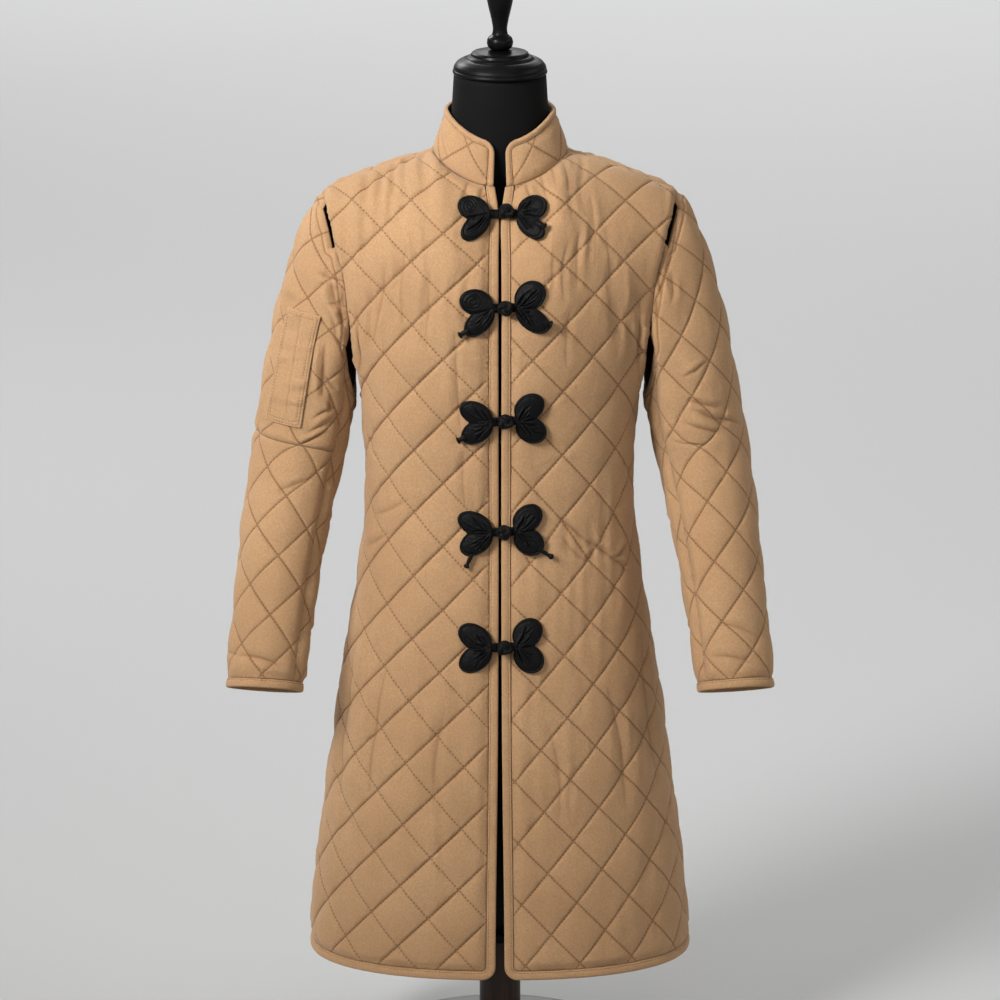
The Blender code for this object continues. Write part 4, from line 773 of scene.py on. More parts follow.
class Panel:
    """One quilted piece of cloth: its surface, its cut and the height of its outer face."""

    def __init__(self, name, surface, cut, quilt, flip=1, wall=WALL, seed=1, creases=(), ripple=1.0,
                 press=None, head=None, cross=None, step=0.0025, shaded=0.5):
        """head holds the outline's first and last point at the armhole and how far off the stitching runs,
        cross is a seam across, press flattens the wadding and shaded is the share of the painted shade that
        goes to the first family of stitch lines. edges takes the bindings sewn to the piece."""
        self.head, self.cross, self.step, self.edges = head, cross, step, []
        self.name, self.surface, self.quilt, self.flip, self.wall = name, surface, quilt, flip, wall
        apart = np.linalg.norm(cut[0] - np.roll(cut[0], 1, axis=0), axis=1) > CLOSEST
        self.outline, self.points, self.normals = (values[apart] for values in cut)
        self.seed, self.creases, self.ripple, self.press, self.shaded = seed, creases, ripple, press, shaded

    def height(self, u, v, near):
        """Height of the outer face over the inner one; near is the distance from the cut edge."""
        fade = smooth_step((near - EDGE_START) / EDGE_WIDTH)
        puff = self.quilt.puff(u, v)
        if self.press:
            puff = puff * self.press(np.stack([u, v], axis=1))
        where = smooth_step(0.6 + 1.2 * noise(u / 0.09, v / 0.12, self.seed + 2))
        where = where * (0.55 + 0.75 * smooth_step((v - 0.14) / 0.10))
        swell = sum(depth * noise(u / wide, v / high, self.seed + more) for depth, wide, high, more in SWELLS)
        wander = 0.6 * noise(u / 0.05, v / 0.05, 7)
        swell = swell + RIPPLE_DEPTH * self.ripple * where * noise(u / RIPPLE_ACROSS + wander, v / RIPPLE_UP,
                                                                   self.seed + 1)
        if self.cross:
            puff = puff * (1 - 0.9 * np.exp(-(above_seam(u, v, self.cross) / SEAM_DIP)**2))
        rise = puff + swell + FOLD_STRENGTH * folds(u, v, self.creases)
        return self.wall * (RIM_SHARE + (1 - RIM_SHARE) * fade) + np.maximum(rise, LOWEST) * fade

    def outer(self, flat, near):
        """World points and normals of the outer face."""
        return self.surface.lifted(flat, self.height(*flat.T, near), self.flip)

    def seam_places(self, flat):
        """Distance of each flat place from the stitching along the armhole and from the seam across."""
        if not self.head:
            return np.ones((len(flat), 2))
        first, last, offset = self.head
        near = closest(flat, self.outline[first:last])[1] - offset
        across = above_seam(*flat.T, self.cross) if self.cross else np.ones(len(flat))
        return np.stack([near, across], axis=1)

    def build(self, finish):
        """The piece as a mesh: a fine outer face, a coarse inner face and the cut edge between them."""
        mirror = np.array([self.flip, 1.0, 1.0])
        inset = inward(self.outline) * SEAM / 2
        shift = self.surface.place(*(self.outline + inset * 10).T)[0] - self.surface.place(*self.outline.T)[0]
        rim = self.points + shift / 10
        fine = np.vstack([grid_places(self.quilt, self.outline), crease_places(self.creases, self.step)])
        coarse = hex_places(self.outline, COARSE)
        points, triangles, flats = [], [], []
        for places, margin, outer in ((fine, FINE_MARGIN, True), (coarse, COARSE_MARGIN, False)):
            near = edge_distance(places, self.outline)
            keep = near > margin
            places, near = places[keep], near[keep]
            if outer:
                inside = self.outer(places, near)[0]
                edge = (rim + self.normals * self.wall * RIM_SHARE) * mirror
            else:
                inside = self.surface.place(*places.T)[0] * mirror
                edge = rim * mirror
            points.append(np.vstack([edge, inside]))
            triangles.append(triangulated(self.outline, places))
            flats.append(np.vstack([self.outline, places]))
        start, count = len(points[0]), len(self.outline)
        here = np.arange(count)
        after = (here + 1) % count
        rims = np.stack([here, start + here, start + after, after], axis=1)
        groups = [triangles[0], (triangles[1] + start)[:, ::-1], rims]
        if self.flip < 0:
            groups = [group[:, ::-1] for group in groups]
        # the inner face takes the lining, painted dark as shade so the openings read black
        slots = np.repeat([0, 1, 0], [len(group) for group in groups])
        thing = mesh_object(self.name, np.vstack(points), [face for group in groups for face in group],
                            [finish, SHADED_LINING], slots)
        flat = np.vstack(flats)
        uv_layer(thing, "cut", flat)
        uv_layer(thing, "seams", self.seam_places(flat))
        # painted shade in the creases' bottoms, and the share of the stitch lines' painted shade on the first
        # family
        shades = crease_painted_shades(*flat.T, self.creases)
        uv_layer(thing, "creases", np.stack([shades, np.full(len(shades), self.shaded)], axis=1))
        uv_layer(thing, "squares", np.stack(self.quilt.squares(*flat.T), axis=1))
        finished(thing, self.name.replace("cloth_", ""))
        "draped" if "sleeve" not in self.name else "hung"
        round(float(abs(signed_area(self.outline))), 4)
        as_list(self.edges)

    def stitches(self, finish):
        """Thread along the stitch lines, one small spindle for each stitch."""
        pitch = 1 / STITCHES_A_SIDE
        along = np.arange(-REACH * STITCHES_A_SIDE, REACH * STITCHES_A_SIDE) * pitch + pitch / 2
        lines, runs = [grid.ravel() for grid in np.meshgrid(np.arange(-REACH, REACH + 1), along)]
        low, high = self.outline.min(axis=0), self.outline.max(axis=0)
        ends = []
        for order in (1, -1):
            pair = [self.quilt.flat(*(lines, runs + side * STITCH_HALF * pitch)[::order]) for side in (-1, 1)]
            middle = (pair[0] + pair[1]) / 2
            keep = ((middle > low) & (middle < high)).all(axis=1)
            ends.append([end[keep] for end in pair])
        first, last = (np.vstack([family[k] for family in ends]) for k in (0, 1))
        near = edge_distance((first + last) / 2, self.outline)
        keep = near > STITCH_MARGIN
        if self.press:
            keep &= self.press((first + last) / 2) > BARELY_PRESSED
        spindles(f"stitches_{self.name.replace('cloth_', '')}",
                 *(self.outer(end[keep], near[keep]) for end in (first, last)), finish)


THREAD_LIFT = 0.0001
# a spindle's faces: its two ends are 0 and 1, its middle's corners 2 to 5
SPINDLE = [(0, 2, 4), (0, 4, 3), (0, 3, 5), (0, 5, 2), (1, 4, 2), (1, 3, 4), (1, 5, 3), (1, 2, 5)]


def spindles(name, first, last, finish, width=0.00042):
    """Many short threads, each from a first to a last point, in one mesh."""
    (a, out), (b, _) = first, last
    along = unit(b - a)
    side = unit(np.cross(along, out))
    middle = (a + b) / 2 + out * THREAD_LIFT
    corners = [a, b, middle + side * width, middle - side * width,
               middle + out * width * 0.9, middle - out * width]
    points = np.stack(corners, axis=1).reshape(-1, 3)
    faces = (np.array(SPINDLE) + np.arange(len(a))[:, None, None] * len(corners)).reshape(-1, 3)
    thing = mesh_object(name, points, faces, [finish])
    fix_normals(thing)
    finished(thing, None)


# ---------------------------------------------------------------- paths in flat places
def spaced(start, end):
    """Places about FINE apart from start to end."""
    return np.linspace(start, end, max(2, round(abs(end - start) / FINE) + 1))


def path_sides(path, turn):
    """The mitred way off an open flat path, to its left (turn 1) or right (turn -1)."""
    steps = unit(np.diff(path, axis=0))
    steps = np.vstack([steps[:1], steps, steps[-1:]])
    left = np.stack([-steps[:, 1], steps[:, 0]], axis=1) * turn
    return (left[:-1] + left[1:]) / (1 + (left[:-1] * left[1:]).sum(axis=1, keepdims=True))


def corner(middle, radius, first, last, count=16):
    """Points of a round corner, between two angles."""
    angles = np.linspace(first, last, count)
    return middle + radius * np.stack([np.cos(angles), np.sin(angles)], axis=1)


# ---------------------------------------------------------------- seams shared by the pieces
SHOULDER_TURNS = np.linspace(NECK_TURN, TIP_TURN, 44)
NECK_TURNS = np.linspace(0.0, NECK_TURN, 36)
ARMHOLE_SHARES = {
    side: np.unique(np.concatenate([
        np.linspace(0, 1, 161),
        np.array([start - 0.007, start, end, end + 0.009, closed, FRONT_SEAM, BACK_SEAM])]))
    for side, (start, end, closed, _) in SLITS.items()}
SHOULDER_NORMAL = unit(np.array([0.35, 0.0, 0.94]))


def neck_normal(points):
    """The way in which the cloth's edge is thick along the neck seam."""
    return unit(unit(points * [1, 1, 0]) + [0, 0, 0.6])


def top_edge(surface, turns, behind, mirrored=False):
    """Flat places and world points where the body's lines end."""
    lines = [body_line(turn, behind) for turn in turns]
    ups = np.array([line[0][-1] for line in lines])
    points = np.array([line[1][-1] for line in lines])
    if not behind:
        number = turns * HALF_LINES
    elif mirrored:
        number, points = HALF_LINES * (1 + turns), points * MIRROR
    else:
        number = HALF_LINES * (1 - turns)
    return surface.flat_at(number, ups), points


def body_armhole(surface, side, behind, mirrored=False):
    """The body's edge at the armhole, from the shoulder tip to the side seam."""
    shares = ARMHOLE_SHARES[side]
    shares = shares[shares >= 0.5][::-1] if behind else shares[shares <= 0.5]
    down = 2 * (1 - shares) if behind else 2 * shares
    flat, points = top_edge(surface, TIP_TURN + (1 - TIP_TURN) * down, behind, mirrored)
    normals = armhole_normals(shares, side)[0]
    return flat, points, normals * MIRROR if mirrored else normals


def armhole_normals(shares, side):
    """Outward normals of the body's and the sleeve's edge at the armhole, equal where they meet."""
    body = []
    for share in shares:
        behind = share > 0.5
        turn = TIP_TURN + (1 - TIP_TURN) * (2 * (1 - share) if behind else 2 * share)
        surface = back if behind else front
        flat, _ = top_edge(surface, np.array([turn]), behind)
        body.append(surface.place(*flat.T)[1][0])
    body = np.array(body)
    body[(shares < 1e-6) | (shares > 1 - 1e-6)] = SHOULDER_NORMAL
    tube = sleeve_tubes[side]
    ups = np.array([sleeve_line(share, side)[0][-1] for share in shares])
    number = np.clip((1 - shares) * SLEEVE_LINES, 0.01, SLEEVE_LINES - 0.01)
    sleeve = tube.place(tube.across_at(number, ups), ups)[1]
    apart = smooth_step(read_table(ARMPIT, shares) / 0.007)[:, None]
    shared = unit(body + sleeve) * (1 - apart)
    return unit(shared + body * apart), unit(shared + sleeve * apart)


def front_path(surface):
    """The front's outer edge from neck to side seam, in flat places."""
    ups, points = body_line(0.0, False)
    openings = np.array(FRONT_OPENING)
    foot, neck = ups[0], ups[-1] - 2 * SEAM
    down = np.concatenate([[neck, neck - 0.010, neck - 0.022], spaced(neck - 0.042, foot + FRONT_CORNER)])
    opening = smooth_curve(openings[:, 0], openings[:, 1], np.interp(down, ups, points[:, 2]))
    start = opening[-1] + FRONT_CORNER
    bend = corner(np.array([start, foot + FRONT_CORNER]), FRONT_CORNER, math.pi, 1.5 * math.pi)[1:]
    return np.vstack([np.stack([opening, down], axis=1), bend, hem_path(surface, False, start)[1:]])


HEM_POINTS = 90            # points along half of the back's hem


def hem_path(surface, behind, start=None):
    """The hem's outer edge in flat places, along the front or the whole back."""
    if behind:
        left, right = np.linspace(1, 0, HEM_POINTS), np.linspace(0, 1, HEM_POINTS)[1:]
        turns = np.concatenate([left, right])
        number = np.concatenate([HALF_LINES * (1 - left), HALF_LINES * (1 + right)])
    else:
        lines = np.arange(HALF_LINES + 1)
        first = np.interp(start, surface.across_at(lines, body_line(0.0, False)[0][0]), lines)
        number = np.linspace(first, HALF_LINES, 84)
        turns = number / HALF_LINES
    flat = surface.flat_at(number, np.array([body_line(turn, behind)[0][0] for turn in turns]))
    flat[-1, 0] -= SEAM / 2
    if behind:
        flat[0, 0] += SEAM / 2
    return flat


def seam_side(surface, number, up):
    """The way up the side seam from the hem, so that the hem's binding ends on it."""
    low, high = surface.across_at(number, [up, up + BAND])
    return [(high - low) / BAND, 1]


def side_seam():
    """Flat heights of the side seam's points, from the hem's binding to the armhole."""
    ups = body_line(1.0, False)[0]
    return spaced(ups[0] + BAND + SEAM / 2, ups[-1])


def collar_line(angle):
    """One line of the collar from the neck seam to its top."""
    sine, cosine = math.sin(angle), math.cos(angle)
    behind = cosine < 0
    base = neckline(NECK_TURN * math.asin(min(abs(sine), 1.0)) / (math.pi / 2), behind)
    depth = COLLAR_TOP_BACK if behind else -COLLAR_TOP_FRONT
    height = COLLAR_BACK_HEIGHT if behind else COLLAR_FRONT_HEIGHT
    top = np.array([COLLAR_TOP_HALF_WIDTH * sine, -depth * cosine,
                    height + (COLLAR_SIDE_HEIGHT - height) * sine**2])
    base = base * [math.copysign(1, sine), 1, 1] + [0, 0, SEAM]
    t = np.linspace(0, 1, 8)[:, None]
    lean = np.array([0.0, 0.0, 1.0]) * np.linalg.norm(top - base)
    points = hermite(base, top, (top - base) * 0.8 + lean * 0.1, (top - base) * 0.8 + lean * 0.2, t)
    return lengths_along(points), points


COLLAR_LINES = 72


def sleeve_surface(side, first, last):
    """Lines from share last down to share first, so that normals point out."""
    shares = sleeve_shares(first, last)[::-1]
    lines = [sleeve_line(share, side) for share in shares]
    anchor = int(np.argmin(np.abs(shares))) if first <= 0 <= last else 0
    return Surface(lines, anchor), shares


# ---------------------------------------------------------------- cuts of the pieces
def top_run(surface, side, behind, mirrored=False, start=-1.0):
    """Flat places, world points and normals from the side seam's top along armhole, shoulder and neck.
    On a front the neck ends at the flat place start, where the binding begins."""
    arm, arm_points, arm_normals = body_armhole(surface, side, behind, mirrored)
    shoulder, shoulder_points = top_edge(surface, SHOULDER_TURNS, behind, mirrored)
    neck, neck_points = top_edge(surface, NECK_TURNS, behind, mirrored)
    if not behind:
        neck, neck_points = (values[neck[:, 0] > start] for values in (neck, neck_points))
    across = np.tile(SHOULDER_NORMAL * (MIRROR if mirrored else 1), (len(SHOULDER_TURNS) - 2, 1))
    return (np.vstack([arm[::-1], shoulder[::-1][1:], neck[::-1][1:]]),
            np.vstack([arm_points[::-1], shoulder_points[::-1][1:], neck_points[::-1][1:]]),
            np.vstack([arm_normals[::-1], across, neck_normal(neck_points[::-1])]))


def front_cut(side):
    """The front's outline, and its binding's path with the way that the binding runs in from it."""
    path = front_path(front)
    sides = path_sides(path, 1)
    sides[-1] = seam_side(front, HALF_LINES, path[-1, 1])
    inner = path + sides * (BAND + SEAM / 2)
    ups = side_seam()
    inner[-1] = [front.across_at(HALF_LINES, ups[0])[0], ups[0]]
    (across, up), (next_across, next_up) = inner[:2]
    top = read_table(top_edge(front, NECK_TURNS, False)[0], across)
    start = [across + (across - next_across) * (top - up) / (up - next_up), top]
    plain = np.vstack([start, inner, front.flat_at(HALF_LINES, ups[1:-1])])
    points, normals = front.place(*plain.T)
    normals[0] = neck_normal(points[:1])
    run = top_run(front, side, False, start=start[0] + 0.002)
    return [np.vstack(pair) for pair in zip((plain, points, normals), run)], (path, sides)


def back_cut():
    """The back's outline, and its binding's path with the way that the binding runs in from it."""
    last = 2 * HALF_LINES
    path = hem_path(back, True)
    sides = path_sides(path, 1)
    sides[0], sides[-1] = seam_side(back, 0, path[0, 1]), seam_side(back, last, path[-1, 1])
    inner = path + sides * (BAND + SEAM / 2)
    ups = side_seam()
    inner[0], inner[-1] = ([back.across_at(line, ups[0])[0], ups[0]] for line in (0, last))
    plain = np.vstack([inner, back.flat_at(last, ups[1:-1])])
    seam = back.flat_at(0, ups[1:-1])[::-1]
    right = top_run(back, "right", True, True)
    left = [part[::-1][1:] for part in top_run(back, "left", True)]
    parts = zip((plain, *back.place(*plain.T)), right, left, (seam, *back.place(*seam.T)))
    return [np.vstack(part) for part in parts], (path, sides)


def collar_cut():
    """The collar's surface, its outline, and its binding's path with the way that the binding runs in."""
    angles = np.linspace(0.001, 2 * math.pi - 0.001, COLLAR_LINES + 1)
    lines = [collar_line(angle) for angle in angles]
    surface = Surface(lines, COLLAR_LINES // 2, spacing=0.002)
    surface.across[:] = surface.across[np.searchsorted(surface.levels, 0.02)]
    numbers = np.arange(COLLAR_LINES + 1)
    tops = np.array([ups[-1] for ups, _ in lines])
    crosses = surface.across_at(numbers, tops)
    end = crosses[-1] - COLLAR_OPENING
    rise = np.interp(COLLAR_CORNER - end, crosses, tops) - COLLAR_CORNER
    first = np.stack([np.full(10, -end), np.linspace(COLLAR_FOOT, rise, 10)], axis=1)
    last = first[::-1] * [-1, 1]
    bend_in = corner(first[-1] + [COLLAR_CORNER, 0], COLLAR_CORNER, math.pi, 0.5 * math.pi, 12)[1:]
    bend_out = corner(last[0] - [COLLAR_CORNER, 0], COLLAR_CORNER, 0.5 * math.pi, 0.0, 12)[:-1]
    tops_across = spaced(bend_in[-1, 0], bend_out[0, 0])[1:-1]
    top = np.stack([tops_across, np.interp(tops_across, crosses, tops)], axis=1)
    path = np.vstack([first, bend_in, top, bend_out, last])
    sides = path_sides(path, -1)
    inner = path + sides * (COLLAR_BAND + SEAM / 2)
    quarter = NECK_TURNS / NECK_TURN * math.pi / 2
    seam_angles = np.concatenate([quarter, math.pi - quarter, math.pi + quarter, 2 * math.pi - quarter])
    seam_angles = np.unique(np.round(seam_angles, 6))
    base = surface.flat_at(np.interp(seam_angles, angles, numbers), 0.0)
    keep = (base[:, 0] > inner[0, 0] + 0.002) & (base[:, 0] < inner[-1, 0] - 0.002)
    base, seam_angles = base[keep], seam_angles[keep]
    inner = np.vstack([[inner[0, 0], 0.0], inner, [inner[-1, 0], 0.0]])
    flat = np.vstack([inner, base[::-1]])
    points, normals = surface.place(*flat.T)
    points[len(inner):] = [collar_line(angle)[1][0] for angle in seam_angles[::-1]]
    seam = np.r_[0, len(inner) - 1:len(flat)]
    normals[seam] = neck_normal(points[seam])
    return surface, (flat[::-1], points[::-1], normals[::-1]), (path, sides)


HEAD_STITCHES = 0.0095     # how far from the armhole the sleeve is stitched down


def sleeve_cut(side, first, last):
    """Surface and outline of one piece of the sleeve, and where its outline runs along the armhole."""
    surface, shares = sleeve_surface(side, first, last)
    end = len(shares) - 1
    low = -ARM_LENGTH + BAND + SEAM / 2
    cuff = surface.flat_at(np.linspace(0, end, round((last - first) * 90)), low)
    heads = [share for share in np.concatenate([ARMHOLE_SHARES[side] - 1, ARMHOLE_SHARES[side]])
             if first - 1e-6 <= share <= last + 1e-6]
    heads = np.array(sorted(set(np.round(heads, 6)), reverse=True))
    ends = [sleeve_line(share, side) for share in heads]
    ups = np.array([line[0][-1] for line in ends])
    head = surface.flat_at(np.interp(heads, shares[::-1], np.arange(end, -1, -1)), ups)
    front_side, back_side = (surface.flat_at(number, spaced(low, top)[1:-1])
                             for number, top in ((0, ups[0]), (end, ups[-1])))
    flat = np.vstack([cuff, back_side, head[::-1], front_side[::-1]])
    points, normals = surface.place(*flat.T)
    part = slice(len(cuff) + len(back_side), len(cuff) + len(back_side) + len(head))
    points[part] = [line[1][-1] for line in ends[::-1]]
    normals[part] = armhole_normals(heads % 1.0, side)[1][::-1]
    return surface, (flat, points, normals), (part.start, part.stop, HEAD_STITCHES)


# ---------------------------------------------------------------- bound edges
# share of the width, share of the rise; the dip near the end holds the top stitching
BAND_PROFILE = [(0.03, 0.0), (0.0, 0.16), (0.0, 0.55), (0.05, 0.84), (0.15, 0.99), (0.32, 1.04), (0.52, 1.03),
                (0.68, 0.97), (0.75, 0.86), (0.79, 0.78), (0.83, 0.86), (0.90, 0.90), (0.97, 0.76),
                (1.0, 0.5), (1.0, 0.0)]
BAND_PUCKERS = [(0.07, 0.008), (0.05, 0.045)]    # height as a share of the rise, length along the edge
JOIN_RISE, JOIN_HALF = 0.22, 0.0035  # a lump where a strip was pieced: share of the rise, half its length
TAPE_STITCH = 0.0046                 # from one top stitch of a binding to the next
THREAD_SHARE = 0.62                  # visible thread of a top stitch, as a share of the way to the next
TAPE_LINE, TAPE_DEPTH = 0.79, 0.80   # place of the top stitching as shares of the width and of the rise


def bound_edge(name, surface, path, sides, width=BAND, flip=1, closed=False, joins=(), top=None):
    """A bound edge with its top stitching. joins are places along the path where the strip was pieced,
    top is the seam that its first end is cut along."""
    run = lengths_along(path)
    pucker = 1.0
    for seed, (height, long) in enumerate(BAND_PUCKERS, len(name)):
        pucker = pucker + height * noise(run / long, run * 0, seed)
    for place in joins:
        pucker = pucker + JOIN_RISE * np.exp(-((run - place) / JOIN_HALF)**2)
    sections = []
    for share, up in BAND_PROFILE:
        flat = path + sides * (share * (width - SEAM / 2))
        if top is not None:
            flat[0, 1] = read_table(top, flat[0, 0]) - 2 * SEAM
        sections.append(surface.lifted(flat, up * BAND_RISE * np.where(up > 0.3, pucker, 1.0), flip)[0])
    node = name.replace("cloth_", "")
    thing = lofted(name, np.stack(sections, axis=1), TAPE, closed, node)
    starts = np.arange(0.002, run[-1] - 0.004, TAPE_STITCH)
    line = path + sides * TAPE_LINE * width
    ends = []
    for places in (starts, starts + THREAD_SHARE * TAPE_STITCH):
        flat = np.stack([np.interp(places, run, line[:, k]) for k in (0, 1)], axis=1)
        ends.append(surface.lifted(flat, TAPE_DEPTH * BAND_RISE, flip))
    spindles(f"topstitch_{node}", *ends, TAPE_THREAD, width=0.0004)
    return thing


# ---------------------------------------------------------------- pocket
POCKET_LINES = (0.0026, 0.0062)      # the pocket's two rows of stitching, from its edge
POCKET_STITCH, POCKET_THREAD = 0.0042, 0.0026
PLEAT_ACROSS, PLEAT_LEAN = 0.0185, 0.004     # the pleat line's distance from the edge, and its drift
POCKET_THIN, POCKET_FULL = 0.0006, 0.0014    # the patch's thickness at its edge, and its rise inside
POCKET_GROOVE, PLEAT_GROOVE = (0.0008, 0.0009), (0.0014, 0.0012)     # depth and half width


def pocket_lift(u, v):
    """Height of the pocket's outer face over the sleeve's inner face."""
    edge = np.minimum.reduce([u - POCKET_ACROSS[0], POCKET_ACROSS[1] - u, v - POCKET_UP[0], POCKET_UP[1] - v])
    soft = smooth_step(edge / 0.004)
    seams = sum(np.exp(-((edge - at) / POCKET_GROOVE[1])**2) for at in POCKET_LINES)
    pleat = u - POCKET_ACROSS[0] - PLEAT_ACROSS - PLEAT_LEAN * (v - POCKET_UP[0]) / 0.15
    middle = np.exp(-(pleat / PLEAT_GROOVE[1])**2)
    waves = 0.0030 * noise(u / 0.045 + 0.5 * v / 0.02 + 3, v / 0.0125, 41) \
        + 0.0007 * noise(u / 0.011, v / 0.014, 42)
    return POCKET_BASE + POCKET_THIN + soft * np.maximum(POCKET_FULL + waves, 0.0002) \
        - POCKET_GROOVE[0] * seams - PLEAT_GROOVE[0] * middle * soft


def pocket_press(points):
    """Flattens the wadding under the arm pocket."""
    off = np.maximum.reduce([POCKET_ACROSS[0] - points[:, 0], points[:, 0] - POCKET_ACROSS[1],
                             POCKET_UP[0] - points[:, 1], points[:, 1] - POCKET_UP[1]])
    return POCKET_PRESS + (1 - POCKET_PRESS) * smooth_step((off - 0.006) / 0.014)


def pocket(surface, flip):
    """The arm pocket: a patch sewn down along its edges, with a pleat line down its middle."""
    count, rows = 56, 170
    across = np.linspace(*POCKET_ACROSS, count)
    sections, flats = [], []
    for up in np.linspace(*POCKET_UP, rows):
        flat = np.stack([across, np.full(count, up)], axis=1)
        top, under = (surface.lifted(flat, lift, flip)[0] for lift in (pocket_lift(*flat.T), POCKET_BASE))
        sections.append(np.vstack([top, under[::-1]]))
        flats.append(np.vstack([flat, flat[::-1]]))
    thing = lofted("cloth_arm_pocket", sections, PLAIN_CLOTH, False, "arm_pocket")
    caps = [flats[k][:count].mean(axis=0) for k in (0, -1)]
    uv_layer(thing, "cut", np.vstack([*flats, *caps]))
    long, wide = POCKET_UP[1] - POCKET_UP[0], POCKET_ACROSS[1] - POCKET_ACROSS[0]
    ends = [[], []]
    low, high = np.array([POCKET_ACROSS[0], POCKET_UP[0]]), np.array([POCKET_ACROSS[1], POCKET_UP[1]])
    for inset in POCKET_LINES:
        (left, foot), (right, head) = low + inset, high - inset
        corners = np.array([(left, foot), (left, head), (right, head), (right, foot), (left, foot)])
        for start, end in zip(corners[:-1], corners[1:]):
            long = np.linalg.norm(end - start)
            runs = np.arange(0.001, long - 0.003, POCKET_STITCH)[:, None]
            for part, off in zip(ends, (0.0, POCKET_THREAD)):
                part.append(start + (end - start) * (runs + off) / long)
    flats = [np.vstack(part) for part in ends]
    placed = [surface.lifted(flat, pocket_lift(*flat.T) + 0.0002, flip) for flat in flats]
    spindles("topstitch_arm_pocket", *placed, TAPE_THREAD, width=0.00045)


# ---------------------------------------------------------------- frogs
# frog, across and up from its knot to the tail's two ends, radius
TAILS = [
    (1, 0.0420, -0.0140, 0.0525, -0.0190, 0.0036), (2, -0.0480, -0.0270, -0.0590, -0.0340, 0.0033),
    (2, 0.0470, -0.0160, 0.0570, -0.0200, 0.0038), (3, -0.0500, -0.0215, -0.0600, -0.0280, 0.0032),
    (4, -0.0400, -0.0300, -0.0480, -0.0490, 0.0026), (4, 0.0420, -0.0230, 0.0615, -0.0360, 0.0026),
]
SPIRALS = {(1, "right"), (2, "right")}      # halves whose upper petal is a coiled cord
COIL_PITCH, COIL_DEPTH, COIL_RADIUS = 0.0044, 0.0008, 0.0125
STEM_HALF = 0.58 * STEM_WIDTH
PETAL_GRAIN = (0.00030, 0.0022)             # height and size of the cloth's grain on a petal
NOTCH_DEPTH, NOTCH_HALF = 0.0026, 0.0010    # the groove between the two petals
PETAL_TURNS, PETAL_STEPS = 360, 34          # points round a half frog, and from its root to its edge
PLEAT_TURNS = (-21, -8, 7, 20)              # degrees from a petal's middle
# height, distance from the petal's edge, half width of the rolled rim and of the groove inside it
PETAL_RIMS = [(0.0010, 0.0022, 0.0010), (-0.0009, 0.0042, 0.0008)]


def knot_place(number):
    """Flat height of a frog's knot and how far it is off the centre line."""
    _, height, off = FROGS[number - 1]
    ups, points = body_line(0.0, False)
    return np.interp(height, points[:, 2], ups), off


def ellipse_reach(angle, along, length, width):
    """How far a ray from the root goes before it leaves a petal that starts there and points along."""
    a, b = length / 2, width / 2
    ray = np.maximum(np.cos(angle - along), 0.0) / a, np.sin(angle - along) / b
    return 2 * ray[0] / (ray[0]**2 + ray[1]**2)


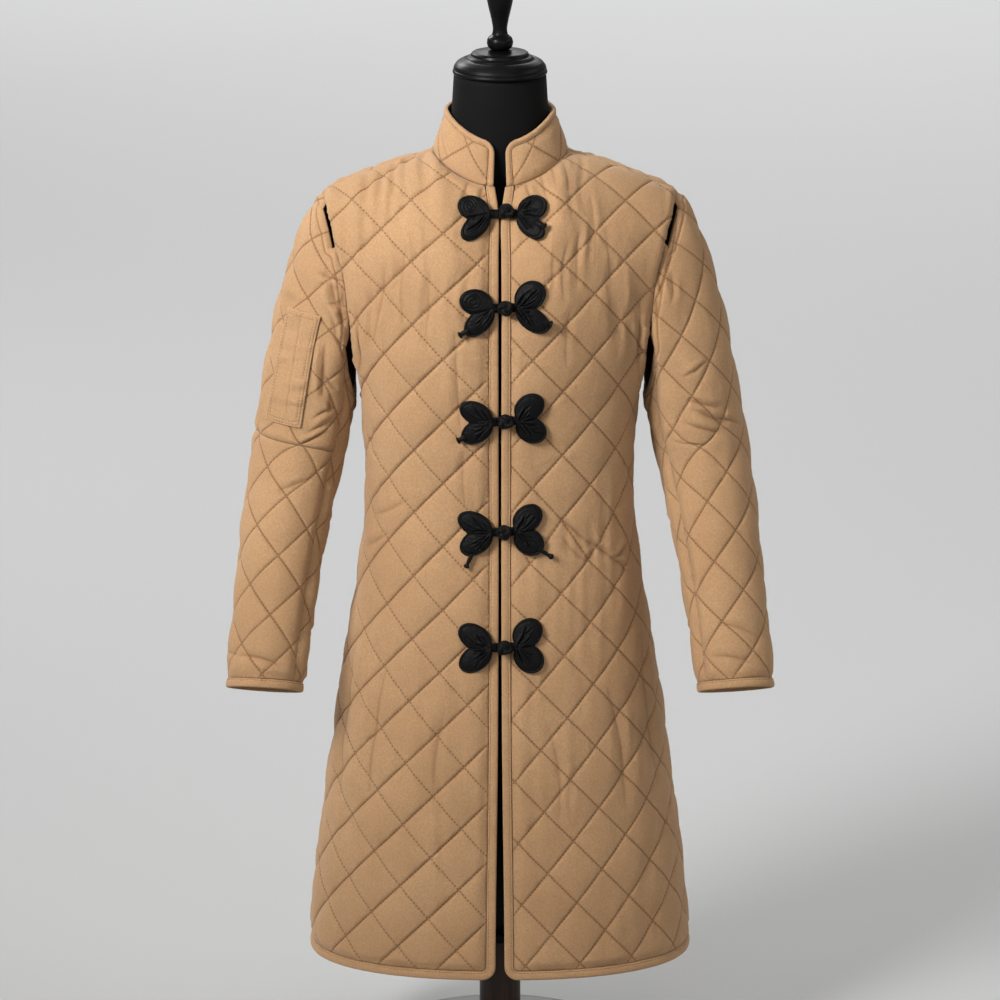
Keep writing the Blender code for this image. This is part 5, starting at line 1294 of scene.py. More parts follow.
def petals(number, side, flip, root, lift, *both):
    """One half of a frog: two pleated petals gathered towards the knot."""
    up, off = knot_place(number)
    middle = np.array([root, up + lift])
    stem = root - flip * off - KNOT_RADIUS * 0.45
    angles = np.linspace(-math.pi, math.pi, PETAL_TURNS, endpoint=False)
    ways = np.stack([np.cos(angles), np.sin(angles)], axis=1)
    bar = np.minimum(stem / np.maximum(-ways[:, 0], 1e-6), STEM_HALF / np.maximum(np.abs(ways[:, 1]), 1e-6))
    reach = np.where(ways[:, 0] < 0, bar, STEM_HALF)
    halves = (both[:3], both[3:])
    for degrees, length, width in halves:
        reach = np.maximum(reach, ellipse_reach(angles, math.radians(degrees), length, width))
    for _ in range(3):
        reach = (np.roll(reach, 1) + 2 * reach + np.roll(reach, -1)) / 4
    coiled = (number, side) in SPIRALS
    rng = np.random.default_rng(number * 10 + (flip > 0))
    pleats = [(math.radians(half[0] + turn + rng.uniform(-4, 4)), rng.uniform(0.50, 0.86),
               rng.uniform(0.0016, 0.0030), rng.uniform(0.0009, 0.0014))
              for half in (halves[1:] if coiled else halves) for turn in PLEAT_TURNS]
    notch = math.radians((both[0] + both[3]) / 2)
    outer = []
    for share in 1 - (1 - np.linspace(0, 1, PETAL_STEPS)[1:]) ** 1.7:
        reached = reach * share
        flat = middle + ways * reached[:, None]
        edge = np.sqrt(np.clip(1 - share**6, 0, 1))
        crown = np.zeros(PETAL_TURNS)
        for degrees, length, width in halves:
            away = (angles - math.radians(degrees)) * np.maximum(reached, 0.004)
            crown = np.maximum(crown, np.exp(-(away / (0.50 * width))**2))
        rise = FROG_THICK * edge * (0.45 + 0.50 * crown)
        for height, inset, width in PETAL_RIMS:
            rise = rise + height * smooth_step(share / 0.5) * np.exp(-((reach - reached - inset) / width)**2)
        for angle, ends, depth, width in pleats:
            away = (angles - angle - 0.10 * np.sin(5 * share + angle * 7)) * reached
            fade = smooth_step((share - 0.06) / 0.16) * smooth_step((ends - share) / 0.15)
            rise = rise - depth * fade * np.exp(-(away / width)**2)
            rise = rise + 0.45 * depth * fade * np.exp(-((np.abs(away) - 1.9 * width) / width)**2)
        away = (angles - notch) * reached
        rise = rise - NOTCH_DEPTH * smooth_step(share / 0.2) * np.exp(-(away / NOTCH_HALF)**2)
        if coiled:
            along = math.radians(both[0])
            centre = middle + 0.62 * both[1] * np.array([math.cos(along), math.sin(along)])
            span, turn = np.hypot(*(flat - centre).T), np.arctan2(*(flat - centre).T)
            coil = np.cos(2 * math.pi * (span / COIL_PITCH - turn / (2 * math.pi)))
            coil = coil * smooth_step((COIL_RADIUS - span) / 0.003) * smooth_step(span / 0.002)
            rise = rise + COIL_DEPTH * coil
        rise = rise + PETAL_GRAIN[0] * noise(*(flat / PETAL_GRAIN[1]).T, number)
        outer.append(front.lifted(flat, FROG_RISE + np.maximum(rise, 0.0006), flip)[0])
    inner = front.lifted(flat, FROG_RISE, flip)[0]
    hub, under = (front.lifted(np.tile(middle, (PETAL_TURNS, 1)), height, flip)[0]
                  for height in (FROG_RISE + 0.8 * FROG_THICK, FROG_RISE))
    sections = [hub * 0.5 + outer[0] * 0.5] + outer + [inner, under * 0.6 + inner * 0.4]
    lofted(f"cord_frog_{number}_{side}", sections, FROG, False, f"frog_{number}_{side}")


def swept(name, path, radii, closed=False):
    """A cord of the frogs' cloth along a path of world points."""
    if closed:
        along = unit(np.roll(path, -1, axis=0) - np.roll(path, 1, axis=0))
    else:
        along = unit(np.gradient(path, axis=0))
    side = unit(np.cross(along, [0.05, -1.0, 0.1]))
    out = np.cross(side, along)
    around = np.linspace(0, 2 * math.pi, 16, endpoint=False)[:, None]
    sections = [place + (np.cos(around) * a + np.sin(around) * b) * radius
                for place, a, b, radius in zip(path, side, out, radii)]
    lofted(name, sections, FROG, closed, None)


def tail(row, number, across, up, end_across, end_up, radius):
    """The short loose end of a frog's cord, finished with a small knot."""
    height, off = knot_place(number)
    flip = 1 if across > 0 else -1
    t = np.linspace(0, 1, 30)
    flat = np.stack([abs(across) + (abs(end_across) - abs(across)) * t + flip * off,
                     height + up + (end_up - up) * t], axis=1)
    thick = radius * (1 + 0.5 * np.exp(-((t - 0.86) / 0.09)**2) - 0.20 * np.exp(-((t - 0.66) / 0.07)**2))
    thick = thick * np.sqrt(np.clip(1 - np.clip((t - 0.9) / 0.1, 0, 1) ** 2, 0.05, 1))
    swept(f"cord_tail_{row}", front.lifted(flat, FROG_RISE + 0.0004 + radius, flip)[0], thick)


STRAND_SIZE, STRAND_RADIUS = [0.0026, 0.0018, 0.0024], 0.0032
CORE_SHARE = 0.80                    # size of the knot's core, as a share of the knot's


def knot(number):
    """A round knot: a core wrapped by one cord that passes over and under itself."""
    up, off = knot_place(number)
    point, normal = front.place(0.0, up)
    middle = point[0] * [0, 1, 1] + normal[0] * [0, 1, 1] * (BAND_RISE + KNOT_RISE + KNOT_LIFT) + [off, 0, 0]
    rings, turns = 24, 48
    around = np.linspace(0, 2 * math.pi, turns, endpoint=False)
    core = []
    for polar in math.pi * np.arange(1, rings) / rings:
        ring = np.stack([np.sin(polar) * np.cos(around), np.full(turns, -np.cos(polar)),
                         np.sin(polar) * np.sin(around)], axis=1)
        core.append(middle + CORE_SHARE * ring * [KNOT_RADIUS, KNOT_RISE, KNOT_RADIUS])
    lofted(f"cord_frog_{number}_knot", core, FROG, False, f"frog_{number}_knot")
    turn = np.linspace(0, 2 * math.pi, 150, endpoint=False)
    lean = 0.5 + number
    strand = np.stack([np.sin(turn) + 2 * np.sin(2 * turn), -1.9 - 1.05 * np.sin(3 * turn),
                       np.cos(turn) - 2 * np.cos(2 * turn)], axis=1)
    spun = strand[:, [0, 2]] @ [[math.cos(lean), math.sin(lean)], [-math.sin(lean), math.cos(lean)]]
    strand = np.stack([spun[:, 0], strand[:, 1], spun[:, 1]], axis=1) * STRAND_SIZE
    swept(f"cord_strand_{number}", middle + strand, STRAND_RADIUS * (1 + 0.05 * np.sin(23 * turn)), True)


# ---------------------------------------------------------------- dress form and stand
def form_radius(height, angles):
    """Radius of the form in each direction: the cloth's inner face less a clearance, or the neck."""
    ring = []
    for behind in (False, True):
        edge = []
        for _, points in form_lines[behind][::2]:
            if points[-1, 2] > height + FORM_DROP:
                edge.append([np.interp(height + FORM_DROP, points[:, 2], points[:, k]) for k in (0, 1)])
        ring.append(edge)
    outline = ring[0] + ring[1][::-1]
    reach = np.zeros(len(angles))
    if len(outline) > 4:
        outline = np.array(outline) - [0.0, FORM_MIDDLE]
        around = np.arctan2(outline[:, 0], -outline[:, 1])
        order = np.argsort(around)
        reach = np.interp(np.abs(angles), around[order], np.linalg.norm(outline, axis=1)[order],
                          left=0, right=0) - FORM_CLEAR
    return np.maximum(reach, NECK_RADIUS) if height > 1.0 else reach


# height and radius of the form's neck; height of its foot, and its share of the full girth there
NECK_RINGS = [(1.18, 0.0640), (1.215, 0.0650), (1.25, 0.0630), (NECK_TOP, 0.0590)]
FOOT_RINGS = [(FORM_FOOT, 0.80), (0.60, 0.93), (0.66, 0.99), (0.73, 1.0)]


def smooth_form():
    """The dress form: torso and neck in one piece."""
    foot, base = FOOT_RINGS[2][0], NECK_RINGS[0][0]
    angles = np.linspace(-math.pi, math.pi, 128, endpoint=False)
    sections = []
    for height in np.concatenate([np.linspace(FORM_FOOT, foot, 12)[:-1], np.linspace(foot, base, 70),
                                  np.linspace(base + 0.01, NECK_TOP, 16)]):
        radius = form_radius(min(height, base), angles)
        if height > base:
            radius = np.full(len(angles), read_table(NECK_RINGS, height))
        radius = radius * read_table(FOOT_RINGS, height)
        sections.append(np.stack([radius * np.sin(angles), FORM_MIDDLE - radius * np.cos(angles),
                                  np.full(len(angles), height)], axis=1))
    lofted("jersey_torso", sections, JERSEY, False, "form_torso")


EDGE_RADIUS = 0.0012                 # rounding of the turned pieces' edges


def turning(name, finish, low, profile, sides=96, smooth=False):
    """A turned piece; profile holds (radius, height over low) from the bottom up. Flat ends are added."""
    foot, top = profile[0][1], profile[-1]
    ends = [] if top[0] == 0 else [(0, top[1])]
    profile = np.array([(0, foot), *profile, *ends], float) + [0, low]
    if smooth:
        run = lengths_along(profile)
        inside = smooth_curve(run, profile, np.linspace(0, run[-1], 90)[1:-1])
        profile = np.vstack([profile[:1], inside, profile[-1:]])
    else:
        rounded = [profile[0]]
        for before, here, after in zip(profile[:-2], profile[1:-1], profile[2:]):
            a, b = before - here, after - here
            cut = min(EDGE_RADIUS, 0.45 * np.linalg.norm(a), 0.45 * np.linalg.norm(b))
            start, end = here + unit(a) * cut, here + unit(b) * cut
            rounded += [start, (start + 2 * here + end) / 4, end]
        profile = np.array(rounded + [profile[-1]])
    around = np.linspace(0, 2 * math.pi, sides, endpoint=False)
    sections = [np.stack([radius * np.cos(around), radius * np.sin(around), np.full(sides, height)], axis=1)
                for radius, height in profile[1:-1]]
    lofted(name, sections, finish, False, name.split("_", 1)[1])


# radius, height over the piece's foot
NECK_CAP = [
    (0.0600, 0.0), (0.0608, 0.0016), (0.0602, 0.0040), (0.0590, 0.0052), (0.0596, 0.0066),
    (0.0585, 0.0100), (0.0550, 0.0145), (0.0500, 0.0175), (0.0462, 0.0188), (0.0455, 0.0176),
    (0.0435, 0.0182), (0.0420, 0.0212), (0.0385, 0.0228), (0.0372, 0.0222), (0.0366, 0.0258),
    (0.0340, 0.0276), (0.0180, 0.0298), (0.0100, 0.0300),
]
CAP_RISE = 0.030
FINIAL = [
    (0.0110, 0.0), (0.0150, 0.003), (0.0168, 0.009), (0.0150, 0.0155), (0.0105, 0.0195), (0.0092, 0.026),
    (0.0105, 0.036), (0.0150, 0.056), (0.0188, 0.076), (0.0200, 0.092), (0.0180, 0.106), (0.0120, 0.114),
    (0, 0.117),
]


def stand():
    """The turned pieces from the floor up."""
    turning("metal_base_plate", BASE, 0,
            [(PLATE_RADIUS - 0.002, 0), (PLATE_RADIUS, 0.002), (PLATE_RADIUS, PLATE_THICK - 0.004),
             (PLATE_RADIUS - 0.003, PLATE_THICK - 0.001), (PLATE_RADIUS - 0.008, PLATE_THICK)], 160)
    low = PLATE_THICK + SEAM
    turning("wood_post_column", WOOD, 0, [(COLUMN_RADIUS, low), (COLUMN_RADIUS, COLUMN_TOP)])
    low = COLUMN_TOP + SEAM
    turning("gloss_post_collar", GLOSS, 0,
            [(POST_COLLAR_RADIUS - 0.001, low), (POST_COLLAR_RADIUS, low + 0.002),
             (POST_COLLAR_RADIUS, POST_COLLAR_TOP - 0.002), (POST_COLLAR_RADIUS - 0.002, POST_COLLAR_TOP)])
    low = POST_COLLAR_TOP + SEAM
    turning("gloss_post_tube", GLOSS, 0,
            [(TUBE_RADIUS, low), (TUBE_RADIUS, FORM_FOOT - SEAM)], 64)
    turning("gloss_neck_cap", GLOSS, NECK_TOP + SEAM, NECK_CAP, 128)
    turning("gloss_finial", GLOSS, NECK_TOP + CAP_RISE + 2 * SEAM, FINIAL, 96, True)


# ---------------------------------------------------------------- materials
class Nodes:
    """Short ways to build a material's nodes."""

    def __init__(self, name, colour, roughness, **sockets):
        self.finish = bpy.data.materials.new(name)
        self.finish.use_nodes = True
        self.tree = self.finish.node_tree
        self.shader = self.tree.nodes["Principled BSDF"]
        self.shader.inputs["Base Color"].default_value = (*colour, 1.0)
        self.shader.inputs["Roughness"].default_value = roughness
        for socket, value in sockets.items():
            self.shader.inputs[socket.replace("_", " ")].default_value = value

    def add(self, kind, values=None, **settings):
        node = self.tree.nodes.new(kind)
        for setting, value in settings.items():
            setattr(node, setting, value)
        for socket, value in (values or {}).items():
            self.put(node.inputs[socket], value)
        return node

    def put(self, socket, value):
        if isinstance(value, bpy.types.NodeSocket):
            self.tree.links.new(value, socket)
        else:
            socket.default_value = value

    def math(self, operation, *values):
        node = self.add("ShaderNodeMath", operation=operation)
        for socket, value in zip(node.inputs, values):
            self.put(socket, value)
        return node.outputs[0]

    def body(self):
        """Places on the object, in metres."""
        return self.add("ShaderNodeTexCoord").outputs["Object"]

    def parts(self, layer):
        """The two channels of a UV layer."""
        place = self.add("ShaderNodeUVMap", uv_map=layer).outputs[0]
        return self.add("ShaderNodeSeparateXYZ", {"Vector": place}).outputs[:2]

    def spread(self, value, low, high, start=0.0, end=1.0):
        """A smooth step from start to end as the value goes from low to high."""
        return self.add("ShaderNodeMapRange", {"Value": value, "From Min": low, "From Max": high,
                                               "To Min": start, "To Max": end},
                        interpolation_type="SMOOTHSTEP").outputs[0]

    def mix(self, amount, first, second):
        node = self.add("ShaderNodeMix", data_type="RGBA")
        self.put(node.inputs["Factor"], amount)
        for socket, value in ((node.inputs[6], first), (node.inputs[7], second)):
            self.put(socket, (*value, 1.0) if isinstance(value, tuple) else value)
        return node.outputs[2]

    def noise(self, vector, scale, detail=2.0, rough=0.5):
        return self.add("ShaderNodeTexNoise", {"Vector": vector, "Scale": scale, "Detail": detail,
                                               "Roughness": rough}).outputs[0]

    def bump(self, height, distance, strength=1.0, under=None):
        node = self.add("ShaderNodeBump", {"Height": height, "Distance": distance, "Strength": strength})
        if under is not None:
            self.tree.links.new(under, node.inputs["Normal"])
        return node.outputs["Normal"]

    def close(self, distance, near, far):
        """1 up to a distance near, falling to 0 at far."""
        return self.spread(distance, near, far, 1.0, 0.0)

    def colour(self, value):
        self.tree.links.new(value, self.shader.inputs["Base Color"])

    def normal(self, value):
        self.tree.links.new(value, self.shader.inputs["Normal"])


WEAVE_PITCH = 0.0009
# scale, detail and roughness of the cloth's noises
MOTTLED, CLOUD = (7.0, 3.0, 0.55), (45.0, 3.0, 0.6)
NAP, FIBRES = (380.0, 3.0, 0.65), (900.0, 2.0, 0.6)
# noise, its values where the darker colour starts and is full, how much is mixed in, how dark it is
CLOTH_SHADES = [
    (CLOUD, 0.35, 0.70, 0.30, 0.80), (NAP, 0.34, 0.66, 0.42, 0.55), (FIBRES, 0.30, 0.70, 0.42, 0.62),
]
# noise, distance and strength of its relief
CLOTH_RELIEF = [(FIBRES, 0.00018, 0.8), (NAP, 0.00045, 0.9), (CLOUD, 0.0030, 0.6)]
THREAD_AND_SHADE_TINT = (0.42, 0.34, 0.28)    # shares of the cloth's darker colour that the painted shade of stitch lines, seams and creases and the thread's dashes go to
# strength of the painted shade in the stitch lines, of the thread's darker dashes, and of the painted shade
# along seams and in crease bottoms
GROOVE_PAINTED_SHADE, THREAD_SHADE, SEAM_PAINTED_SHADE, FOLD_PAINTED_SHADE = 0.50, 0.72, 0.62, 0.62


def weave(nodes):
    """Height of a plain weave from two crossed waves, in the cloth's flat places."""
    waves = [nodes.math("SINE", nodes.math("MULTIPLY", place, 2 * math.pi / WEAVE_PITCH))
             for place in nodes.parts("cut")]
    return nodes.math("MULTIPLY", *waves)


def quilted_finish(nodes, shade, fluff, dark):
    """Paints shade into the stitch lines, seams and folds of a quilted piece, darkens its threads' dashes,
    and puckers the cloth beside them.
    """
    places, marks = nodes.parts("squares"), nodes.parts("creases")
    share = nodes.math("MULTIPLY", marks[1], 2.0)
    weights = [nodes.math("MINIMUM", part, 1.0) for part in (share, nodes.math("SUBTRACT", 2.0, share))]
    lines, threads = [], []
    for place, run in zip(places, places[::-1]):
        off = nodes.math("ABSOLUTE", nodes.math("SUBTRACT", place, nodes.math("ROUND", place)))
        lines.append(nodes.math("MULTIPLY", off, SQUARE_SIDE))
        wave = nodes.math("COSINE", nodes.math("MULTIPLY", run, 2 * math.pi * STITCHES_A_SIDE))
        gaps = nodes.close(wave, -0.2, 0.5)
        threads.append(nodes.math("MULTIPLY", nodes.close(lines[-1], 0.0004, 0.0016), gaps))
    # painted shade along each family of stitch lines, shared out between the families by the share in the
    # creases map
    crease = nodes.math("MAXIMUM", *[nodes.math("MULTIPLY", nodes.close(line, 0.0001, 0.0024), weight)
                                     for line, weight in zip(lines, weights)])
    # painted shade along the sleeve's stitching at the armhole and along the seam across it
    off = nodes.math("MINIMUM", *[nodes.math("ABSOLUTE", place) for place in nodes.parts("seams")])
    thread_and_shade = tuple(c * part for c, part in zip(dark, THREAD_AND_SHADE_TINT))
    # the painted shade and the thread's dashes are mixed into the cloth's colour here
    for mark, amount in ((crease, GROOVE_PAINTED_SHADE), (nodes.math("MAXIMUM", *threads), THREAD_SHADE),
                         (nodes.close(off, 0.0003, 0.0014), SEAM_PAINTED_SHADE), (marks[0], FOLD_PAINTED_SHADE)):
        shade = nodes.mix(nodes.math("MULTIPLY", mark, amount), shade, thread_and_shade)
    fluff = nodes.bump(nodes.spread(off, 0.0002, 0.0030), 0.0014, 0.8, fluff)
    held = nodes.close(nodes.math("MINIMUM", *lines), 0.0015, 0.010)
    puckers = nodes.noise(nodes.body(), 210.0)
    return shade, nodes.bump(nodes.math("MULTIPLY", puckers, held), 0.0009, 0.55, fluff)


def cloth_finish(name, light, dark, roughness=0.88, quilted=False, mapped=False):
    """Brushed cotton; a mapped piece has a weave along its cut, a quilted one its stitch lines too, with
    painted shade in them.
    """
    nodes = Nodes(name, light, roughness, Sheen_Weight=0.18, Sheen_Roughness=0.45, Specular_IOR_Level=0.18)
    nodes.shader.inputs["Sheen Tint"].default_value = (1.0, 0.86, 0.70, 1.0)
    body = nodes.body()
    noises = {kind: nodes.noise(body, *kind) for kind in (MOTTLED, CLOUD, NAP, FIBRES)}
    shade = nodes.mix(nodes.spread(noises[MOTTLED], 0.30, 0.72), dark, light)
    for kind, low, high, amount, part in CLOTH_SHADES:
        darker = tuple(part * c for c in light)
        shade = nodes.mix(nodes.spread(noises[kind], low, high, 0.0, amount), shade, darker)
    fluff = None
    for kind, distance, strength in CLOTH_RELIEF:
        fluff = nodes.bump(noises[kind], distance, strength, fluff)
    if mapped:
        fluff = nodes.bump(weave(nodes), 0.00010, 0.8, fluff)
    if quilted:
        shade, fluff = quilted_finish(nodes, shade, fluff, dark)
    nodes.colour(shade)
    nodes.normal(fluff)
    return nodes.finish


def hard_finish(name, colour, roughness, colours, grain, ends=(0.3, 0.7), stretch=None, relief=None,
                gloss=None, **sockets):
    """A finish whose colour goes between two with a noise, and whose relief or gloss may follow it.
    relief holds a distance, a strength and its own noise or None, gloss the ends of noise and roughness."""
    nodes = Nodes(name, colour, roughness, **sockets)
    body = nodes.body()
    if stretch:
        body = nodes.add("ShaderNodeMapping", {"Vector": body, "Scale": stretch}).outputs[0]
    patches = nodes.noise(body, *grain)
    nodes.colour(nodes.mix(nodes.spread(patches, *ends), *colours))
    if relief:
        distance, strength, other = relief
        nodes.normal(nodes.bump(nodes.noise(body, *other) if other else patches, distance, strength))
    if gloss:
        nodes.tree.links.new(nodes.spread(patches, *gloss), nodes.shader.inputs["Roughness"])
    return nodes.finish


TAN, DEEP_TAN = (0.470, 0.280, 0.143), (0.405, 0.232, 0.113)
QUILTED = cloth_finish("quilted_cotton", TAN, DEEP_TAN, quilted=True, mapped=True)
PLAIN_CLOTH = cloth_finish("plain_cotton", TAN, DEEP_TAN, mapped=True)
TAPE = cloth_finish("cotton_tape", (0.450, 0.268, 0.137), (0.390, 0.224, 0.110))
# the inner faces: the same cloth painted a quarter as bright, as painted shade inside the openings
SHADED_LINING = cloth_finish("cotton_lining_painted_shade", (0.12, 0.068, 0.034), (0.10, 0.056, 0.028))
THREAD = cloth_finish("stitch_thread", (0.20, 0.108, 0.052), (0.16, 0.086, 0.040), 0.75)
TAPE_THREAD = cloth_finish("tape_thread", (0.185, 0.100, 0.048), (0.15, 0.082, 0.038), 0.75)
FROG = hard_finish("frog_cloth", (0.0030, 0.0029, 0.0029), 0.58,
                   ((0.0008, 0.0008, 0.0008), (0.0034, 0.0033, 0.0033)), (800.0, 2.0, 0.6), (0.3, 0.8),
                   relief=(0.00045, 1.0, None),
                   Sheen_Weight=0.02, Sheen_Roughness=0.4, Specular_IOR_Level=0.13)
JERSEY = hard_finish("black_jersey", (0.0050, 0.0050, 0.0052), 0.75,
                     ((0.0024, 0.0024, 0.0025), (0.0046, 0.0044, 0.0043)), (12.0, 2.0, 0.5),
                     relief=(0.00018, 0.6, (800.0, 2.0, 0.55)),
                     Sheen_Weight=0.02, Sheen_Roughness=0.5, Specular_IOR_Level=0.06)
GLOSS = hard_finish("black_lacquer", (0.0030, 0.0030, 0.0032), 0.36,
                    ((0.0024, 0.0024, 0.0025), (0.0050, 0.0047, 0.0045)), (25.0, 3.0, 0.6),
                    gloss=(0.3, 0.7, 0.30, 0.44), Specular_IOR_Level=0.08)
WOOD = hard_finish("dark_wood", (0.036, 0.021, 0.013), 0.45,
                   ((0.026, 0.0145, 0.0090), (0.052, 0.0300, 0.0180)), (1.6, 4.0, 0.6),
                   stretch=(90.0, 90.0, 6.0), relief=(0.0003, 0.4, None), Specular_IOR_Level=0.3)
BASE = hard_finish("grey_metal", (0.060, 0.060, 0.057), 0.42,
                   ((0.050, 0.050, 0.047), (0.075, 0.074, 0.070)), (60.0, 4.0, 0.65),
                   gloss=(0.3, 0.75, 0.34, 0.52), Metallic=0.25)

# ---------------------------------------------------------------- creases
# in tenths of a millimetre, in flat places: from across and up, to across and up, depth, width
CREASES_TENTHS = {
    "front_left": [
        (790, -320, 1150, -670, 22, 45), (1150, -670, 1500, -930, 30, 50),
        (1500, -930, 1770, -1140, 22, 45), (1530, -930, 1780, -800, 20, 40),
        (820, -590, 1120, -920, 14, 40), (1120, -920, 1240, -770, 12, 35), (880, 2450, 840, 1750, 10, 60),
        (690, 3520, 660, 2680, 12, 55), (840, 3300, 800, 2620, 9, 50), (1000, 3450, 980, 2750, 10, 55),
        (1180, 3900, 1220, 3000, 10, 60), (1400, 3500, 1460, 2700, 8, 60), (300, 4180, 520, 3720, 14, 40),
        (460, 4360, 600, 3950, 14, 40), (620, 4520, 720, 4050, 12, 45), (780, 4620, 860, 4050, 10, 50),
        (1900, 2500, 1960, 1400, 14, 70), (1700, 300, 2050, 100, 12, 60), (600, -3000, 750, -4300, 12, 100),
        (1400, -2600, 1650, -4200, 16, 110), (2000, -2000, 2250, -4000, 16, 110),
    ],
    "front_right": [
        (570, 2250, 500, 950, 13, 65), (460, 600, 440, -100, 10, 60), (880, 3000, 940, 2000, 10, 70),
        (1200, 3300, 1260, 2300, 9, 70), (200, 4100, 340, 3750, 12, 40), (360, 4280, 500, 3850, 10, 40),
        (1500, 3000, 1700, 1900, 12, 80), (1960, 2350, 1980, 1500, 16, 60),
        (1500, -600, 1900, -850, 14, 55), (1200, -100, 1750, -400, 10, 60),
        (700, -2800, 850, -4200, 12, 100), (1500, -2400, 1750, -4000, 16, 110),
        (2050, -2200, 2280, -4200, 15, 110),
    ],
    "back": [
        (-1800, 3000, -1650, 1700, 16, 80), (1820, 2900, 1680, 1650, 16, 80),
        (-1200, 3300, -1100, 2100, 10, 80), (1000, 3400, 960, 2400, 10, 80),
        (-1550, -200, -600, -450, 16, 60), (-1700, -600, -900, -800, 12, 55),
        (1600, -300, 500, -520, 16, 60), (1650, 200, 1000, 40, 11, 60), (-300, 100, 350, 40, 10, 60),
        (-200, -2000, -300, -4800, 16, 120), (600, -2200, 780, -4700, 16, 120),
        (-1100, -2000, -1350, -4600, 17, 120), (1500, -1900, 1800, -4400, 16, 120),
        (-2050, -1500, -2320, -3800, 15, 110),
    ],
    "collar": [
        (-1500, 120, -1200, 400, 8, 45), (1700, 100, 1350, 380, 8, 45),
    ],
    "sleeve_right": [
        (-990, 920, -1070, 240, 30, 48), (-920, 800, -980, 300, -12, 45), (-1160, 160, -1200, 20, 20, 35),
        (-860, 1780, -1020, 1500, 34, 55), (-1020, 1500, -1190, 1180, 38, 55),
        (-720, 1960, -860, 1780, 12, 50), (-800, 2400, -960, 1900, 24, 50),
        (-1040, 1700, -1120, 1400, 26, 45), (-700, 1860, -1080, 1830, 32, 50),
        (-940, 1500, -1220, 1460, 34, 52), (-1100, 1080, -980, 1320, 30, 50),
        (-1200, 900, -1040, 1120, 20, 45), (-1060, 500, -1240, 300, 22, 40),
        (-1000, -60, -1260, 60, 20, 40), (-960, -260, -1200, -120, 18, 40),
        (-1100, -300, -900, -520, 14, 45), (-360, -3420, -870, -3520, 22, 60),
        (0, -3350, -300, -3410, 12, 60), (-600, -3660, -920, -3720, 12, 50),
        (-1000, -1100, -700, -1280, 12, 50), (200, 0, 800, 180, 16, 60), (300, -400, 850, -200, 14, 55),
        (500, 1400, 600, 600, 12, 70),
    ],
    "sleeve_left": [
        (-930, 170, -600, 0, 20, 48), (-880, 20, -520, -220, 22, 48), (-1000, -120, -640, -340, 18, 45),
        (-600, -140, -300, -300, 14, 45), (-830, 520, -660, 620, 14, 40), (-960, 480, -800, 540, 10, 40),
        (-920, 2000, -1000, 1650, 22, 45), (-800, 1880, -920, 1500, 14, 45),
        (-1080, 1600, -1160, 1300, 18, 42), (-1200, -400, -850, -560, 12, 45),
        (-800, -3000, -400, -3180, 14, 55), (-950, -3400, -500, -3520, 16, 55),
        (100, -100, 750, 120, 16, 60), (300, -450, 850, -300, 14, 55), (500, 1500, 620, 700, 12, 70),
        (0, -1800, 400, -1920, 12, 60),
    ],
    "under": [
        (300, 800, 600, 600, 18, 50), (250, 400, 700, 220, 20, 50), (300, 0, 650, -120, 18, 50),
        (300, -1500, 600, -1620, 12, 50), (300, -3000, 600, -3100, 14, 50),
    ],
}
CREASES = {name: [tuple(size / 10000 for size in row) for row in rows]
           for name, rows in CREASES_TENTHS.items()}

# ---------------------------------------------------------------- the garment
quarters = {behind: body_quarter(behind) for behind in (False, True)}
front = front_surface()
back = back_surface()
form_lines = {behind: [body_line(i / HALF_LINES, behind) for i in range(HALF_LINES + 1)]
              for behind in (False, True)}
sleeve_tubes = {side: sleeve_surface(side, 0.0, 1.0)[0] for side in ("left", "right")}

# across and up of the seam that crosses the right sleeve below its pocket
ELBOW_SEAM = [(0.200, -0.030), (0.100, -0.040), (0.000, -0.048), (-0.016, -0.045), (-0.070, -0.053),
              (-0.127, -0.063), (-0.200, -0.060)]
CUFF_POINTS = 120
# for each front: share of the painted shade on the first family of stitch lines (half is even), fullness of
# the pillows, how far each family of lines is drawn down, where the binding's strip was pieced
FRONTS = {"left": (0.66, 0.85, (0.75, 1.0), [0.690]), "right": (0.86, 1.15, (1.0, 0.55), [0.835])}


def one_front(side, flip):
    """The front's panel with its binding."""
    name = f"front_{side}"
    shaded, full, drawn, joins = FRONTS[side]
    cut, edge = front_cut(side)
    panel = Panel(f"cloth_{name}", front, cut, Quilt(QUILTS[name], full * RISE, 11 + flip, drawn), flip,
                  seed=20 + flip, creases=CREASES[name], ripple=1.6, shaded=shaded)
    panel.edges.append(bound_edge(f"cloth_binding_{name}", front, *edge, flip=flip, joins=joins,
                                  top=top_edge(front, NECK_TURNS, False)[0]))
    return panel


def one_sleeve(side, flip):
    """The sleeve's under and upper panel, with the cuff's binding and on the right the pocket."""
    for part, first, last in (("under", FRONT_SEAM, BACK_SEAM), ("upper", BACK_SEAM - 1, FRONT_SEAM)):
        upper = part == "upper"
        pocketed = upper and side == "right"
        surface, cut, head = sleeve_cut(side, first, last)
        seed = (31 if upper else 51) + flip
        panel = Panel(f"cloth_sleeve_{part}_{side}", surface, cut,
                      Quilt(QUILTS[f"sleeve_{side}"], 0.9 * RISE, seed), flip, seed=seed + 9,
                      creases=CREASES[f"sleeve_{side}" if upper else "under"], head=head, ripple=1.3,
                      press=pocket_press if pocketed else None, cross=ELBOW_SEAM if pocketed else None)
        if pocketed:
            pocket(surface, flip)
        if upper:
            tube = sleeve_tubes[side]
            path = tube.flat_at(np.linspace(0, SLEEVE_LINES, CUFF_POINTS, endpoint=False), -ARM_LENGTH)
            panel.edges.append(bound_edge(f"cloth_cuff_binding_{side}", tube, path,
                                          np.tile([0.0, 1.0], (CUFF_POINTS, 1)), flip=flip, closed=True))
        yield panel


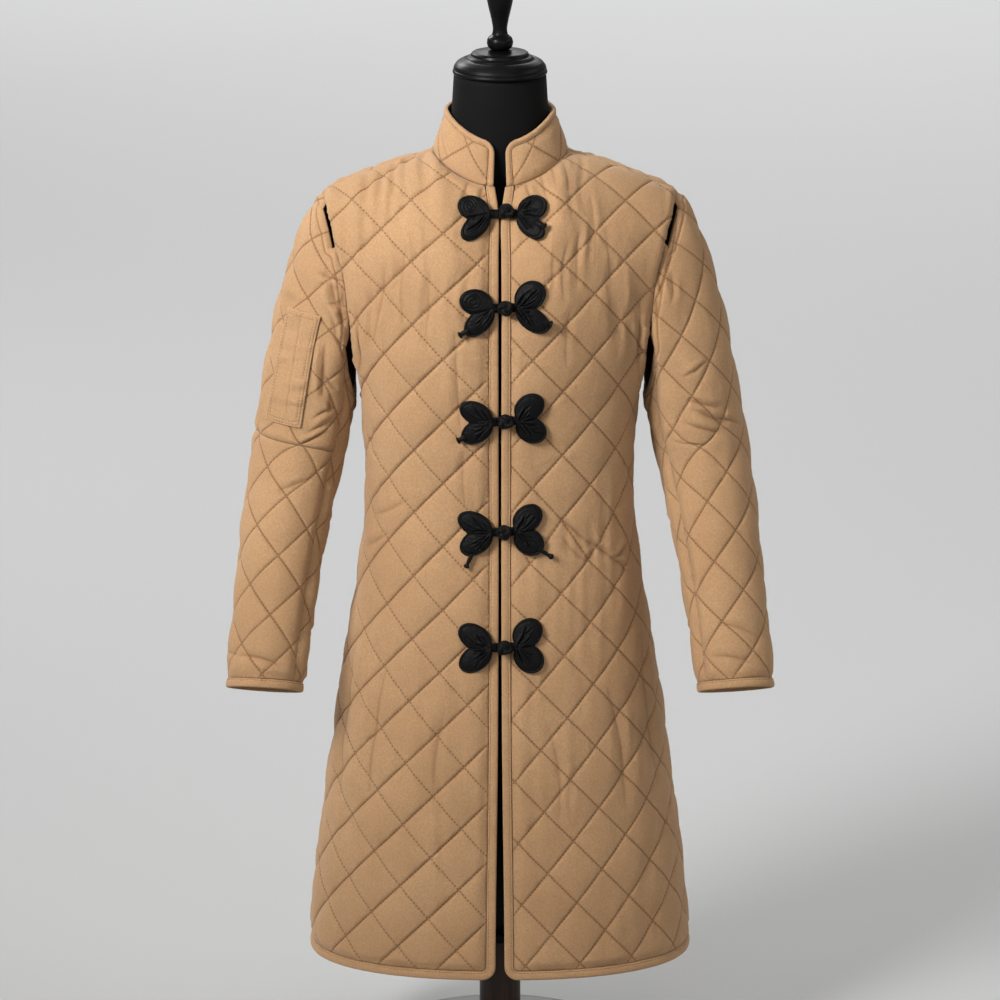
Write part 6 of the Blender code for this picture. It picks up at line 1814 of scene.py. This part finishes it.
panels = []
for side, flip in (("left", 1), ("right", -1)):
    panels += [one_front(side, flip), *one_sleeve(side, flip)]
cut, edge = back_cut()
panels.append(Panel("cloth_back", back, cut, Quilt(QUILTS["back"], RISE, 71), seed=80,
                    creases=CREASES["back"], step=0.0045))
panels[-1].edges.append(bound_edge("cloth_binding_back_hem", back, *edge))
surface, cut, edge = collar_cut()
panels.append(Panel("cloth_collar", surface, cut, Quilt(QUILTS["collar"], 0.40 * RISE, 91), wall=COLLAR_WALL,
                    seed=100, creases=CREASES["collar"], ripple=0.3))
panels[-1].edges.append(bound_edge("cloth_binding_collar", surface, *edge, width=COLLAR_BAND))
for panel in panels:
    panel.build(QUILTED)
    panel.stitches(THREAD)
for number, side, *rest in PETALS:
    petals(number, side, 1 if side == "left" else -1, *rest)
for number, _, _ in FROGS:
    knot(number)
for row, ends in enumerate(TAILS, 1):
    tail(row, *ends)
smooth_form()
stand()


# ---------------------------------------------------------------- floor, light and camera
def area_light(name, place, aim, size, power, spread=180):
    """A round lamp of a size in metres, a power in watts and a spread in degrees."""
    light = bpy.data.lights.new(name, "AREA")
    light.shape, light.size, light.energy, light.spread = "DISK", size, power, math.radians(spread)
    thing = bpy.data.objects.new(name, light)
    thing.location = place
    thing.rotation_euler = (Vector(aim) - Vector(place)).to_track_quat("-Z", "Y").to_euler()
    bpy.context.scene.collection.objects.link(thing)


floor_finish = Nodes("pale_floor", (0.410, 0.414, 0.414), 0.9, Specular_IOR_Level=0.1).finish
bpy.ops.mesh.primitive_circle_add(vertices=96, radius=30, fill_type="NGON", location=(0, 0, -0.0005))
floor = bpy.context.object
floor.name = "floor"
floor.data.materials.append(floor_finish)

world = bpy.data.worlds.new("studio")
bpy.context.scene.world = world
world.use_nodes = True
sky = world.node_tree.nodes["Background"]
sky.inputs["Color"].default_value = (1.0, 0.985, 0.965, 1.0)
sky.inputs["Strength"].default_value = 0.28
area_light("key", (-2.3, -2.4, 3.0), (-0.12, 0.0, 1.43), 1.4, 26.5, spread=56)
area_light("fill", (2.6, -4.6, 2.2), (0.0, 0.0, 1.2), 2.0, 3.6, spread=60)
area_light("back", (-2.4, 3.2, 3.3), (0.0, 0.0, 1.1), 1.6, 110)
# across, forward, power of the wide lamps that light the floor round the object
FLOOR_LIGHTS = [(0.0, 9.5, 740), (0.0, -10.5, 270), (10.0, 0.0, 460), (-10.0, 0.0, 170)]
for number, (x, y, power) in enumerate(FLOOR_LIGHTS):
    area_light(f"floor_light_{number}", (x, y, 5.5), (x, y, 0.0), 9.0, power)

EYE, TARGET = Vector((0.0, -8.0, 2.914)), Vector((0.0, 0.0, 0.749))
camera = bpy.data.cameras.new("camera")
camera.lens, camera.sensor_width, camera.clip_end = 229.5, 36.0, 100.0
eye = bpy.data.objects.new("camera", camera)
eye.location = EYE
eye.rotation_euler = (TARGET - EYE).to_track_quat("-Z", "Y").to_euler()
bpy.context.scene.collection.objects.link(eye)
bpy.context.scene.camera = eye
bpy.context.scene.view_settings.view_transform = "Standard"
